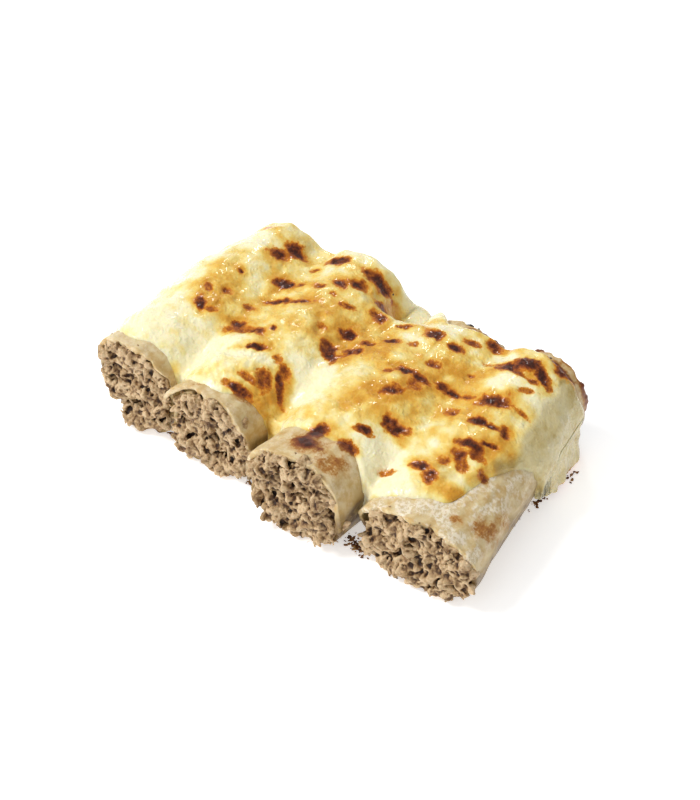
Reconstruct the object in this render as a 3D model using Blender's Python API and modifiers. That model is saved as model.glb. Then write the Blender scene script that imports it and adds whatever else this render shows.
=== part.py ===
"""Cannelloni: four filled pasta rolls, baked side by side under one blanket of white sauce and cheese.

Sizes are in millimetres, and become metres where a mesh is made. X runs across the rolls, Y along them
from the cut ends at -Y to the back ends at +Y, and Z is up from the surface that they rest on. An angle
round a roll is in degrees from +X, over the top at 90.
"""

import math
from dataclasses import dataclass

import bmesh
import bpy
import numpy as np
from mathutils import Vector, noise

MM = 0.001
GAP = 0.3

# A roll's outline: the exponent of its rounded top, and how much of its underside its weight presses flat.
TOP_EXPONENT = 2.25
FLATTENING = 1.04

# The pasta sheet.
SHEET = 1.3
SHEET_STEP = 10.0
SHEET_STATIONS = 5
LAP_RAMP = 55.0
FREE_EDGE_RAMP = 28.0
CUT_WAVE = 0.7

# The filling.
FILLING_STEP = 12.0
FILLING_FLARE = 0.8
BACK_BULGE = 0.8
LUMP_SIZE = 7.0
LUMP_HEIGHT = 1.1

# The gratin: its thickness over the rolls and down their flanks, how far it dips between two rolls and how
# much deeper near its front edge, and the heights that its underside and its hanging edges reach.
TOP_THICKNESS = 3.0
FLANK_THICKNESS = 1.7
DIP = 4.5
FRONT_DIP = 7.0
FRONT_DIP_LENGTH = 20.0
BLEND = 2.5
UNDERSIDE = 17.0
TONGUE = 9.0
TONGUE_LENGTH = 14.0
FLANK_FOOT = 1.2
LEFT_FLANK_FOOT = 12.0
END_STANDOFF = 2.2
END_ROUNDING = 5.0
RIPPLE = 0.8
RIPPLE_SIZE = 13.0
LEAST_THICKNESS = 0.8
COLUMNS_PER_ROLL = 12
ROWS = 20

# The blanket's front and back edges, as (x, y) points joined by a smooth line.
FRONT_EDGE = (
    (-74, -17), (-66, -24), (-57, -28), (-50, -25), (-43, -30), (-36, -32.5), (-27, -32), (-21, -26),
    (-16, -23), (-10, -27.5), (-3, -30), (7, -28.5), (18, -28.5), (24, -30), (31, -34.5), (39, -33.5),
    (49, -30), (55, -25), (59, -9), (64, 5), (72, 10),
)
BACK_EDGE = (
    (-68, 40), (-54, 43), (-40, 43), (-31, 45), (-22, 50.5), (-8, 51), (3, 48), (9, 40),
    (16, 36.5), (28, 36.5), (38, 36), (50, 34), (58, 33), (68, 31),
)

# The sauce that ran down behind the two middle rolls and set there.
APRON_CENTRE = (-11.0, 40.0)
APRON_REACH = (23.0, 14.0)
APRON_HEIGHT = 18.0
APRON_FOOT = 1.0

# How much deeper the valley between the two middle rolls is at the back, and over which stretch of Y.
BACK_DIP = 9.0
BACK_DIP_FROM_TO = (24.0, 34.0)


@dataclass(frozen=True)
class Roll:
    """One filled roll. Each pair of sizes is for its front and its back end.

    sag is the exponent of its underside, fuller than a circle above 2, and lean is how far its underside
    is pushed to +X. The sheet starts at an angle and turns clockwise from there, and free_edge_in is how
    far in its outer edge curls, or how far out it lifts where that is negative. The filling bulges out of
    the front by bulge, and spills further by spill near the bottom.
    """

    middle_x: tuple
    end_y: tuple
    half_width: tuple
    height: tuple
    sag: float
    lean: float
    sheet_starts: float
    sheet_turns: float
    free_edge_in: float
    bulge: float
    spill: float

    def at(self, pair, along):
        """A size at a share of the way from the front end to the back end."""
        return pair[0] + (pair[1] - pair[0]) * along

    def along(self, y):
        """The share of the way from the front end to the back end at which y lies."""
        return (y - self.end_y[0]) / (self.end_y[1] - self.end_y[0])

    def outline(self, along, angle, inset=0.0):
        """The (x, z) point of the outline at an angle, moved in by inset."""
        cosine = math.cos(math.radians(angle))
        sine = math.sin(math.radians(angle))
        exponent = TOP_EXPONENT if sine >= 0 else self.sag
        sideways = math.copysign(abs(cosine) ** (2 / exponent), cosine)
        upwards = math.copysign(abs(sine) ** (2 / exponent), sine)
        if sine < 0:
            upwards = max(-1.0, FLATTENING * upwards)
        half_width = self.at(self.half_width, along)
        half_height = self.at(self.height, along) / 2
        x = self.at(self.middle_x, along) + (half_width - inset) * sideways
        x += self.lean * min(0.0, upwards) ** 2
        z = half_height + (half_height - inset) * upwards
        return x, z


ROLLS = (
    Roll(middle_x=(-55.5, -51.0), end_y=(-36.0, 39.5), half_width=(15.5, 15.5), height=(32.5, 27.0),
         sag=2.0, lean=4.0, sheet_starts=200, sheet_turns=385, free_edge_in=0.0, bulge=1.6, spill=4.0),
    Roll(middle_x=(-23.6, -20.0), end_y=(-38.0, 40.0), half_width=(15.9, 13.2), height=(30.5, 28.0),
         sag=2.8, lean=0.0, sheet_starts=152, sheet_turns=395, free_edge_in=-1.0, bulge=1.6, spill=1.0),
    Roll(middle_x=(12.2, 20.8), end_y=(-43.5, 38.5), half_width=(17.2, 15.2), height=(29.5, 26.0),
         sag=2.8, lean=0.0, sheet_starts=188, sheet_turns=385, free_edge_in=0.0, bulge=2.2, spill=0.8),
    Roll(middle_x=(50.4, 50.2), end_y=(-38.0, 37.0), half_width=(20.2, 13.0), height=(24.0, 29.5),
         sag=2.4, lean=0.0, sheet_starts=196, sheet_turns=292, free_edge_in=4.0, bulge=2.0, spill=2.5),
)


def smooth(value, low, high):
    """0 below low, 1 above high, with an S-shaped rise between them."""
    share = np.clip((value - low) / (high - low), 0.0, 1.0)
    return share * share * (3 - 2 * share)


def lumps(x, y, z, size, seed):
    """Gentle, repeatable unevenness between about -1 and 1."""
    place = Vector((x / size, y / size, z / size))
    return noise.noise(place + Vector((11.3, 5.1, 7.7)) * seed)


def surface_mesh(name, rows, closed_round=False, capped=False):
    """A mesh of quads through rows of points, closed round each row and capped at both ends if asked."""
    mesh_points = [Vector(point) * MM for row in rows for point in row]
    count = len(rows[0])
    body = bmesh.new()
    vertices = [body.verts.new(point) for point in mesh_points]
    last = count if closed_round else count - 1
    for row in range(len(rows) - 1):
        for column in range(last):
            here = row * count + column
            beside = row * count + (column + 1) % count
            corners = (here, beside, beside + count, here + count)
            body.faces.new([vertices[corner] for corner in corners])
    if capped:
        body.faces.new(vertices[:count][::-1])
        body.faces.new(vertices[-count:])
    bmesh.ops.recalc_face_normals(body, faces=body.faces)
    mesh = bpy.data.meshes.new(name)
    body.to_mesh(mesh)
    body.free()
    return mesh


def material(name, colour, roughness):
    """A plain food surface of one colour."""
    made = bpy.data.materials.new(name)
    made.use_nodes = True
    shader = made.node_tree.nodes["Principled BSDF"]
    shader.inputs["Base Color"].default_value = (*colour, 1.0)
    shader.inputs["Roughness"].default_value = roughness
    shader.inputs["Metallic"].default_value = 0.0
    return made


def add_object(mesh, collection, parent, finish=None):
    """An object with this mesh, in the collection and under the parent."""
    made = bpy.data.objects.new(mesh.name, mesh)
    collection.objects.link(made)
    made.parent = parent
    if finish:
        mesh.materials.append(finish)
        mesh.shade_smooth()
        mesh.set_sharp_from_angle(angle=math.radians(40))
    return made


def add_cutter(mesh, collection, parent):
    """A helper that only cuts other objects."""
    made = add_object(mesh, collection, parent)
    made.hide_render = True
    made.display_type = "WIRE"
    return made


def sheet_inset(roll, turned):
    """How far in the sheet lies after turning this many degrees from its outer edge.

    The sheet slides under itself after a full turn. Near its outer edge it lifts off or curls in.
    """
    lap = SHEET + GAP + 0.15
    under = lap * float(smooth(turned, 360 - LAP_RAMP, 350))
    free = roll.free_edge_in * float(1 - smooth(turned, 0, FREE_EDGE_RAMP))
    return under + free


def make_pasta(number, roll, collection, parent, finish):
    """The rolled sheet: an open surface that winds clockwise from its outer edge, then thickened."""
    steps = round(roll.sheet_turns / SHEET_STEP)
    rows = []
    for station in range(SHEET_STATIONS):
        along = station / (SHEET_STATIONS - 1)
        y = roll.at(roll.end_y, along)
        row = []
        for step in range(steps + 1):
            turned = roll.sheet_turns * step / steps
            angle = roll.sheet_starts - turned
            x, z = roll.outline(along, angle, sheet_inset(roll, turned))
            wave = CUT_WAVE * math.sin(math.radians(2 * angle) + 1.7 * number + 9 * along)
            is_end = station in (0, SHEET_STATIONS - 1)
            row.append((x, y + (wave if is_end else 0.0), z))
        rows.append(row)
    mesh = surface_mesh(f"pasta_{number}", rows)
    pasta = add_object(mesh, collection, parent, finish)
    thickness = pasta.modifiers.new("thickness", "SOLIDIFY")
    thickness.thickness = SHEET * MM
    thickness.offset = -1.0 if outward(mesh, roll) else 1.0
    thickness.use_even_offset = True
    return pasta


def outward(mesh, roll):
    """Whether the open sheet's faces point away from the middle of the roll."""
    middle = Vector((roll.at(roll.middle_x, 0.5), 0.0, roll.at(roll.height, 0.5) / 2)) * MM
    total = 0.0
    for face in mesh.polygons:
        away = face.center - middle
        away.y = 0.0
        total += face.normal.dot(away) * face.area
    return total > 0


def filling_inset(roll, angle):
    """The filling lies inside one sheet, and inside two where the sheet laps over itself."""
    single = SHEET + GAP + 0.1
    turned = (roll.sheet_starts - angle) % 360
    lapped = max(0.0, roll.sheet_turns - 360)
    near_end = smooth(turned, 360 - LAP_RAMP - 12, 350 - 12)
    past_start = 1 - smooth(turned, lapped + 6, lapped + 26)
    share = max(near_end, past_start) if lapped else 0.0
    curl = 0.0
    if roll.free_edge_in > 0:
        curl = roll.free_edge_in * float(1 - smooth(turned, FREE_EDGE_RAMP, 2 * FREE_EDGE_RAMP))
        curl += roll.free_edge_in * float(smooth(turned, 350, 360))
    return single + single * float(share) + curl


def filling_ring(roll, along, y_shift, shrink, flare, seed):
    """One closed ring of the filling. A shrink of 1 is the full section and 0 its middle."""
    middle_x, middle_z = roll.at(roll.middle_x, along), roll.at(roll.height, along) / 2
    base_y = roll.at(roll.end_y, along)
    ring = []
    for step in range(round(360 / FILLING_STEP)):
        angle = 360 - step * FILLING_STEP
        x, z = roll.outline(along, angle, filling_inset(roll, angle) - flare)
        x = middle_x + (x - middle_x) * shrink
        z = middle_z + (z - middle_z) * shrink
        low = max(0.0, -math.sin(math.radians(angle))) * shrink
        y = base_y + y_shift - roll.spill * low * (1 if y_shift < 0 else 0)
        if shrink < 1 or flare:
            y += LUMP_HEIGHT * lumps(x, y, z, LUMP_SIZE, seed)
        ring.append((x, y, z))
    return ring


def make_filling(number, roll, collection, parent, finish):
    """The minced filling, which fills the sheet and bulges unevenly out of both cut ends."""
    inside = 2.5 / (roll.end_y[1] - roll.end_y[0])
    front = ((1.0, -0.5, 0.0), (1.0, -0.7 * roll.bulge, FILLING_FLARE), (0.9, -roll.bulge, 0.3),
             (0.7, -0.8 * roll.bulge, 0.0), (0.42, -0.9 * roll.bulge, 0.0), (0.14, -0.7 * roll.bulge, 0.0))
    back = ((1.0, 0.3, 0.0), (0.9, BACK_BULGE, 0.0), (0.6, 0.3, 0.0), (0.2, -0.2, 0.0))
    rows = [filling_ring(roll, 0.0, shift, shrink, flare, number) for shrink, shift, flare in front[::-1]]
    rows += [filling_ring(roll, along, 0.0, 1.0, 0.0, number) for along in (inside, 0.35, 0.68, 1 - inside)]
    rows += [filling_ring(roll, 1.0, shift, shrink, flare, number + 5) for shrink, shift, flare in back]
    mesh = surface_mesh(f"filling_{number}", rows, closed_round=True, capped=True)
    return add_object(mesh, collection, parent, finish)


def hump(roll, x, y):
    """The height of the blanket over one roll, rounded off past the roll's back end."""
    along = np.clip(roll.along(y), 0.0, 1.0)
    half_width = roll.at(roll.half_width, along) + FLANK_THICKNESS
    height = roll.at(roll.height, along)
    aside = np.clip(np.abs(x - roll.at(roll.middle_x, along)) / half_width, 0.0, 1.0)
    arch = (1 - aside**TOP_EXPONENT) ** (1 / TOP_EXPONENT)
    crown = height / 2 + (height / 2 + TOP_THICKNESS) * arch
    return np.where(aside < 1, crown, 0.0) * past_end(roll.end_y[1], y)


def past_end(end_y, y):
    """The share of its height that the blanket keeps past the back end of what it covers."""
    past = np.clip((y - end_y - END_STANDOFF) / END_ROUNDING, 0.0, 1.0)
    return np.sqrt(1 - past**2)


def valley_fill(x, y):
    """The height to which the sauce fills the valleys between the rolls."""
    shares = [np.clip(roll.along(y), 0.0, 1.0) for roll in ROLLS]
    middles = [roll.at(roll.middle_x, share) for roll, share in zip(ROLLS, shares)]
    crowns = [roll.at(roll.height, share) for roll, share in zip(ROLLS, shares)]
    ends = [roll.end_y[1] for roll in ROLLS]
    if not middles[0] < x < middles[-1]:
        return 0.0
    dip = DIP + FRONT_DIP * (1 - smooth(y - smooth_line(FRONT_EDGE, x), 0.0, FRONT_DIP_LENGTH))
    if middles[1] < x < middles[2]:
        dip = dip + BACK_DIP * smooth(y, *BACK_DIP_FROM_TO)
    level = np.interp(x, middles, crowns) + TOP_THICKNESS - dip
    return level * past_end(np.interp(x, middles, ends), y)


def apron(x, y):
    """The height of the sauce that set behind the middle rolls."""
    across = (x - APRON_CENTRE[0]) / APRON_REACH[0]
    behind = (y - APRON_CENTRE[1]) / APRON_REACH[1]
    inside = np.clip(1 - np.abs(across) ** 2.6 - np.clip(behind, 0, None) ** 2.6, 0.0, None)
    return APRON_HEIGHT * inside**0.4


def blanket_top(x, y):
    """The height of the gratin's top: the rolls' humps, run together by the sauce between them."""
    heights = [hump(roll, x, y) for roll in ROLLS] + [valley_fill(x, y), apron(x, y)]
    highest = np.max(heights, axis=0)
    total = sum(np.exp((height - highest) / BLEND) for height in heights)
    return highest + BLEND * np.log(total) * smooth(highest, 2.0, 14.0)


def blanket_underside(x, y, edge_y):
    """The height down to which the sauce may hang: lower in front and at the right flank."""
    tongue = UNDERSIDE + (TONGUE - UNDERSIDE) * (1 - smooth(y - edge_y, 4.0, TONGUE_LENGTH))
    last = ROLLS[-1]
    share = np.clip(last.along(y), 0.0, 1.0)
    right = last.at(last.middle_x, share) + last.at(last.half_width, share) * 0.6
    low = FLANK_FOOT + (tongue - FLANK_FOOT) * (1 - smooth(x, right, right + 3.0))
    first = ROLLS[0]
    share = np.clip(first.along(y), 0.0, 1.0)
    left = first.at(first.middle_x, share) - first.at(first.half_width, share) * 0.6
    low = low + (LEFT_FLANK_FOOT - low) * (1 - smooth(x, left - 3.0, left))
    set_back = smooth(y, APRON_CENTRE[1] - 3.0, APRON_CENTRE[1] + 1.0)
    in_apron = set_back * smooth(apron(x, y), 2.0, 8.0)
    return low + (APRON_FOOT - low) * in_apron


def smooth_line(points, x):
    """The y of a smooth line through (x, y) points."""
    xs, ys = np.array(points, float).T
    slopes = np.gradient(ys, xs)
    index = np.clip(np.searchsorted(xs, x) - 1, 0, len(xs) - 2)
    width = xs[index + 1] - xs[index]
    t = np.clip((x - xs[index]) / width, 0.0, 1.0)
    start = (1 + 2 * t) * (1 - t) ** 2 * ys[index] + t * (1 - t) ** 2 * slopes[index] * width
    end = t**2 * (3 - 2 * t) * ys[index + 1] + t**2 * (t - 1) * slopes[index + 1] * width
    return start + end


def blanket_columns():
    """The blanket's columns from left to right, as (roll, sideways) pairs.

    Each column follows one roll. Sideways is its place across the roll, from -1 to 1, closer together
    towards the roll's steep sides. Only the outermost columns stand off their roll by the flank's thickness.
    """
    columns = []
    for roll in ROLLS:
        for step in range(COLUMNS_PER_ROLL):
            angle = math.pi * (1 - step / (COLUMNS_PER_ROLL - 1))
            columns.append((roll, math.cos(angle)))
    return columns


def blanket_point(roll, sideways, share):
    """The (x, y) of a column at a share of the way from the front edge to the back edge."""
    outer = (roll is ROLLS[0] and sideways < 0) or (roll is ROLLS[-1] and sideways > 0)
    x = roll.at(roll.middle_x, 0.5)
    for _ in range(5):
        front_y = smooth_line(FRONT_EDGE, x)
        y = front_y + (smooth_line(BACK_EDGE, x) - front_y) * share
        along = np.clip(roll.along(y), 0.0, 1.0)
        reach = roll.at(roll.half_width, along) + (FLANK_THICKNESS if outer else 0.0)
        x = roll.at(roll.middle_x, along) + reach * sideways
    return float(x), float(y)


def blanket_heights(x, y):
    """The heights of the blanket's top and of its underside at a point."""
    low = float(blanket_underside(x, y, smooth_line(FRONT_EDGE, x)))
    top = max(float(blanket_top(x, y)), low + LEAST_THICKNESS)
    top += RIPPLE * lumps(x, y, 0.0, RIPPLE_SIZE, 3) * float(smooth(top, 6.0, 20.0))
    return top, low


def make_roll_cutter(number, roll, collection, parent):
    """A roll's envelope with straight sides below its middle, a gap larger than the roll all round."""
    rows = []
    for along, y_shift in ((0.0, -6.0), (0.0, 0.0), (0.5, 0.0), (1.0, 0.0), (1.0, BACK_BULGE + 0.9)):
        y = roll.at(roll.end_y, along) + y_shift
        row = []
        for step in range(21):
            x, z = roll.outline(along, 180 - step * 9, -GAP + min(0.0, roll.free_edge_in))
            row.append((x, y, z))
        row.append((row[-1][0], y, -5.0))
        row.append((row[0][0], y, -5.0))
        rows.append(row)
    mesh = surface_mesh(f"roll_cutter_{number}", rows, closed_round=True, capped=True)
    return add_cutter(mesh, collection, parent)


def make_gratin(collection, cutters, parent, finish):
    """The blanket: a draped grid of points, pulled down to its underside and cut out over each roll."""
    body = bmesh.new()
    columns = blanket_columns()
    bmesh.ops.create_grid(body, x_segments=len(columns) - 1, y_segments=ROWS, size=0.5)
    bmesh.ops.triangulate(body, faces=body.faces, quad_method="FIXED")
    top = sorted(body.verts, key=lambda vertex: (round(vertex.co.y, 4), round(vertex.co.x, 4)))
    bottom_faces = bmesh.ops.extrude_face_region(body, geom=body.faces[:])["geom"]
    bottom = [item for item in bottom_faces if isinstance(item, bmesh.types.BMVert)]
    bottom.sort(key=lambda vertex: (round(vertex.co.y, 4), round(vertex.co.x, 4)))
    for index, (upper, lower) in enumerate(zip(top, bottom)):
        row, column = divmod(index, len(columns))
        x, y = blanket_point(*columns[column], row / ROWS)
        high, low = blanket_heights(x, y)
        upper.co = Vector((x, y, high)) * MM
        lower.co = Vector((x, y, low)) * MM
    bmesh.ops.recalc_face_normals(body, faces=body.faces)
    mesh = bpy.data.meshes.new("gratin")
    body.to_mesh(mesh)
    body.free()
    gratin = add_object(mesh, collection, parent, finish)
    for number, cutter in enumerate(cutters, 1):
        cut = gratin.modifiers.new(f"roll_{number}", "BOOLEAN")
        cut.operation = "DIFFERENCE"
        cut.object = cutter
    return gratin


def corners_of(objects):
    """The lowest and highest corners of the objects as they are evaluated."""
    bpy.context.view_layer.update()
    graph = bpy.context.evaluated_depsgraph_get()
    points = []
    for item in objects:
        evaluated = item.evaluated_get(graph)
        mesh = evaluated.to_mesh()
        points += [evaluated.matrix_world @ vertex.co for vertex in mesh.vertices]
        evaluated.to_mesh_clear()
    return np.min(points, axis=0), np.max(points, axis=0)


def main():
    """Clears the scene, makes every piece and sets the part's origin under its middle."""
    for item in list(bpy.data.objects):
        bpy.data.objects.remove(item, do_unlink=True)
    parts = bpy.data.collections.new("cannelloni")
    cutters = bpy.data.collections.new("cannelloni_cutters")
    bpy.context.scene.collection.children.link(parts)
    bpy.context.scene.collection.children.link(cutters)
    base = bpy.data.objects.new("cannelloni_base", None)
    parts.objects.link(base)

    pasta = material("boiled_pasta", (0.71, 0.60, 0.38), 0.45)
    mince = material("cooked_mince", (0.39, 0.25, 0.16), 0.65)
    gratin = material("browned_cheese_sauce", (0.85, 0.68, 0.34), 0.35)

    roll_cutters = []
    pieces = []
    for number, roll in enumerate(ROLLS, 1):
        pieces.append(make_pasta(number, roll, parts, base, pasta))
        pieces.append(make_filling(number, roll, parts, base, mince))
        roll_cutters.append(make_roll_cutter(number, roll, cutters, base))
    pieces.append(make_gratin(parts, roll_cutters, base, gratin))

    low, high = corners_of(pieces)
    base.location = (-(low[0] + high[0]) / 2, -(low[1] + high[1]) / 2, -low[2])


main()
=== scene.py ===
"""The looks of baked cannelloni: four filled pasta rolls under one browned blanket of sauce and cheese.

Lengths are in millimetres and become metres where a mesh is shaped. X runs across the rolls, Y along them
from the cut front ends to the back ends, and Z is up from the surface that they rest on. An angle round a
roll is in degrees from +X, over the top at 90.
"""

import enum
import logging
import math
import random
from collections.abc import Callable
from dataclasses import dataclass
from typing import Protocol

import bpy
import numpy as np
from mathutils import Euler, Matrix, Vector, noise


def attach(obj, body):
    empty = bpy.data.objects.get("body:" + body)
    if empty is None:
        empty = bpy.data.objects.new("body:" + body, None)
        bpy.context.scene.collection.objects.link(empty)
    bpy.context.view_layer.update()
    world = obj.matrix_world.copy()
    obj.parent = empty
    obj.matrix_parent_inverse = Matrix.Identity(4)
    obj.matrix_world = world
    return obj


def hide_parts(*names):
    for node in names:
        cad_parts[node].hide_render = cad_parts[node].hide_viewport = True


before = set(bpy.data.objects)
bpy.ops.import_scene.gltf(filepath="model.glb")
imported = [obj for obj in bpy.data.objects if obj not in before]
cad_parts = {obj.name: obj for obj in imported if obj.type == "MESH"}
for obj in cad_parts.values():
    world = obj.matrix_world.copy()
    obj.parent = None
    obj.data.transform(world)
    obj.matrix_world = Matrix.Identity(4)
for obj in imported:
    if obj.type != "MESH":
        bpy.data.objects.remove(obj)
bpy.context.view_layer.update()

Piece = bpy.types.Object
Tree = bpy.types.NodeTree
Socket = bpy.types.NodeSocket

LOG = logging.getLogger("cannelloni")
MM = 0.001


class Slot(enum.Enum):
    """The record's material slots."""

    PASTA = "boiled_pasta"
    MINCE = "cooked_mince"
    SAUCE = "browned_cheese_sauce"


class End(enum.Enum):
    """An end of a roll: the cut one in front, or the one at the back."""

    FRONT = 0
    BACK = 1

    @property
    def inwards(self) -> int:
        """The direction along Y that leads from this end into the roll."""
        return 1 if self is End.FRONT else -1


# ---------------------------------------------------------------- small helpers


def smooth(value: np.ndarray, low: float, high: float) -> np.ndarray:
    """An S-shaped rise from 0 at low to 1 at high.

    Args:
        value: The numbers to read.
        low: Where the rise starts.
        high: Where it ends. It may be below low, for a fall.

    Returns:
        Numbers from 0 to 1.
    """
    share = np.clip((np.asarray(value, float) - low) / (high - low), 0.0, 1.0)
    return share * share * (3 - 2 * share)


def unevenness(points: np.ndarray, grain: tuple[float, float, float] | float, seed: int) -> np.ndarray:
    """Repeatable soft noise between about -1 and 1.

    Args:
        points: An array of points in mm, three to a row.
        grain: The size of one lump in mm, or one size for each axis.
        seed: A whole number that picks another pattern.

    Returns:
        One number for each point.
    """
    scaled = points / np.broadcast_to(np.asarray(grain, float), 3) + np.array((17.3, 5.9, 11.1)) * seed
    return np.array([noise.noise(place) for place in scaled.tolist()])


def points_of(piece: Piece) -> np.ndarray:
    """The piece's mesh points in mm, three to a row."""
    flat = np.empty(len(piece.data.vertices) * 3, np.float32)
    piece.data.vertices.foreach_get("co", flat)
    return flat.reshape(-1, 3).astype(float) / MM


def place_points(piece: Piece, points: np.ndarray) -> None:
    """Moves the piece's mesh points to these places in mm."""
    piece.data.vertices.foreach_set("co", (points * MM).astype(np.float32).ravel())
    piece.data.update()


def normals_of(piece: Piece) -> np.ndarray:
    """The outward direction at each mesh point, three numbers to a row."""
    flat = np.empty(len(piece.data.vertices) * 3, np.float32)
    piece.data.vertices.foreach_get("normal", flat)
    return flat.reshape(-1, 3).astype(float)


def keep_values(piece: Piece, name: str, values: np.ndarray) -> None:
    """Writes one number for each mesh point as a named attribute, which a material can read."""
    attribute = piece.data.attributes.get(name) or piece.data.attributes.new(name, "FLOAT", "POINT")
    attribute.data.foreach_set("value", np.asarray(values, np.float32))


def select_only(piece: Piece) -> None:
    """Deselects everything, then selects this piece and makes it the active one."""
    bpy.ops.object.select_all(action="DESELECT")
    piece.select_set(True)
    bpy.context.view_layer.objects.active = piece


def finish_with(piece: Piece, kind: str, **settings: object) -> None:
    """Adds one modifier with these settings and applies it.

    Args:
        piece: The mesh object.
        kind: The modifier's type, such as BEVEL.
        settings: The modifier's own settings by name.
    """
    modifier = piece.modifiers.new(kind.lower(), kind)
    for name, value in settings.items():
        setattr(modifier, name, value)
    select_only(piece)
    bpy.ops.object.modifier_apply(modifier=modifier.name)


def edit_all(piece: Piece, *steps: tuple) -> None:
    """Runs mesh operators in edit mode on the whole of the piece.

    Args:
        piece: The mesh object.
        steps: Pairs of an operator and its settings.
    """
    select_only(piece)
    bpy.ops.object.mode_set(mode="EDIT")
    bpy.ops.mesh.select_all(action="SELECT")
    for operator, settings in steps:
        operator(**settings)
    bpy.ops.object.mode_set(mode="OBJECT")


def thin_out(piece: Piece, hidden: np.ndarray, keep: float) -> None:
    """Takes triangles away where nobody sees them.

    Args:
        piece: The mesh object.
        hidden: True for each mesh point that may be thinned out.
        keep: The share of triangles that stays there.
    """
    select_only(piece)
    bpy.ops.object.mode_set(mode="EDIT")
    bpy.ops.mesh.select_all(action="DESELECT")
    bpy.ops.object.mode_set(mode="OBJECT")
    piece.data.vertices.foreach_set("select", hidden.astype(bool))
    corners = np.empty(len(piece.data.loops), np.int32)
    piece.data.loops.foreach_get("vertex_index", corners)
    starts = np.empty(len(piece.data.polygons), np.int32)
    piece.data.polygons.foreach_get("loop_start", starts)
    whole = np.minimum.reduceat(hidden[corners].astype(int), starts) > 0
    piece.data.polygons.foreach_set("select", whole)
    bpy.ops.object.mode_set(mode="EDIT")
    bpy.ops.mesh.decimate(ratio=keep)
    bpy.ops.object.mode_set(mode="OBJECT")


def linear(hex_colour: str) -> tuple[float, float, float, float]:
    """Turns an sRGB hex colour into the linear colour that a shader takes."""
    channels = [int(hex_colour[i : i + 2], 16) / 255 for i in (1, 3, 5)]
    return (*[c / 12.92 if c <= 0.04045 else ((c + 0.055) / 1.055) ** 2.4 for c in channels], 1.0)


def add_node(
    tree: Tree,
    kind: str,
    settings: dict | None = None,
    inputs: dict | None = None,
) -> bpy.types.Node:
    """Adds a node, sets it up and links what feeds it.

    Args:
        tree: The material's node tree.
        kind: The node's type, without the ShaderNode that it begins with.
        settings: The node's own settings by name.
        inputs: A value, or the output socket that feeds it, for each input by name or number.

    Returns:
        The node.
    """
    node = tree.nodes.new("ShaderNode" + kind)
    for name, value in (settings or {}).items():
        setattr(node, name, value)
    for name, value in (inputs or {}).items():
        if isinstance(value, Socket):
            tree.links.new(value, node.inputs[name])
        else:
            node.inputs[name].default_value = value
    return node


# ---------------------------------------------------------------- the rolls, as the frame gives them


@dataclass(frozen=True)
class Habit:
    """How one roll was wound and how it sat down in the dish.

    Attributes:
        sag: The exponent of its underside, fuller than a circle above 2.
        lean: How far its underside is pushed to +X.
        starts: The angle of the sheet's outer edge.
        turns: How far the sheet winds clockwise from there.
        free_edge_in: How far in the outer edge curls, or out where it is negative.
        tip: How many degrees further round the outer edge reaches at its front corner.
    """

    sag: float
    lean: float
    starts: float
    turns: float
    free_edge_in: float
    tip: float = 0.0


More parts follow.
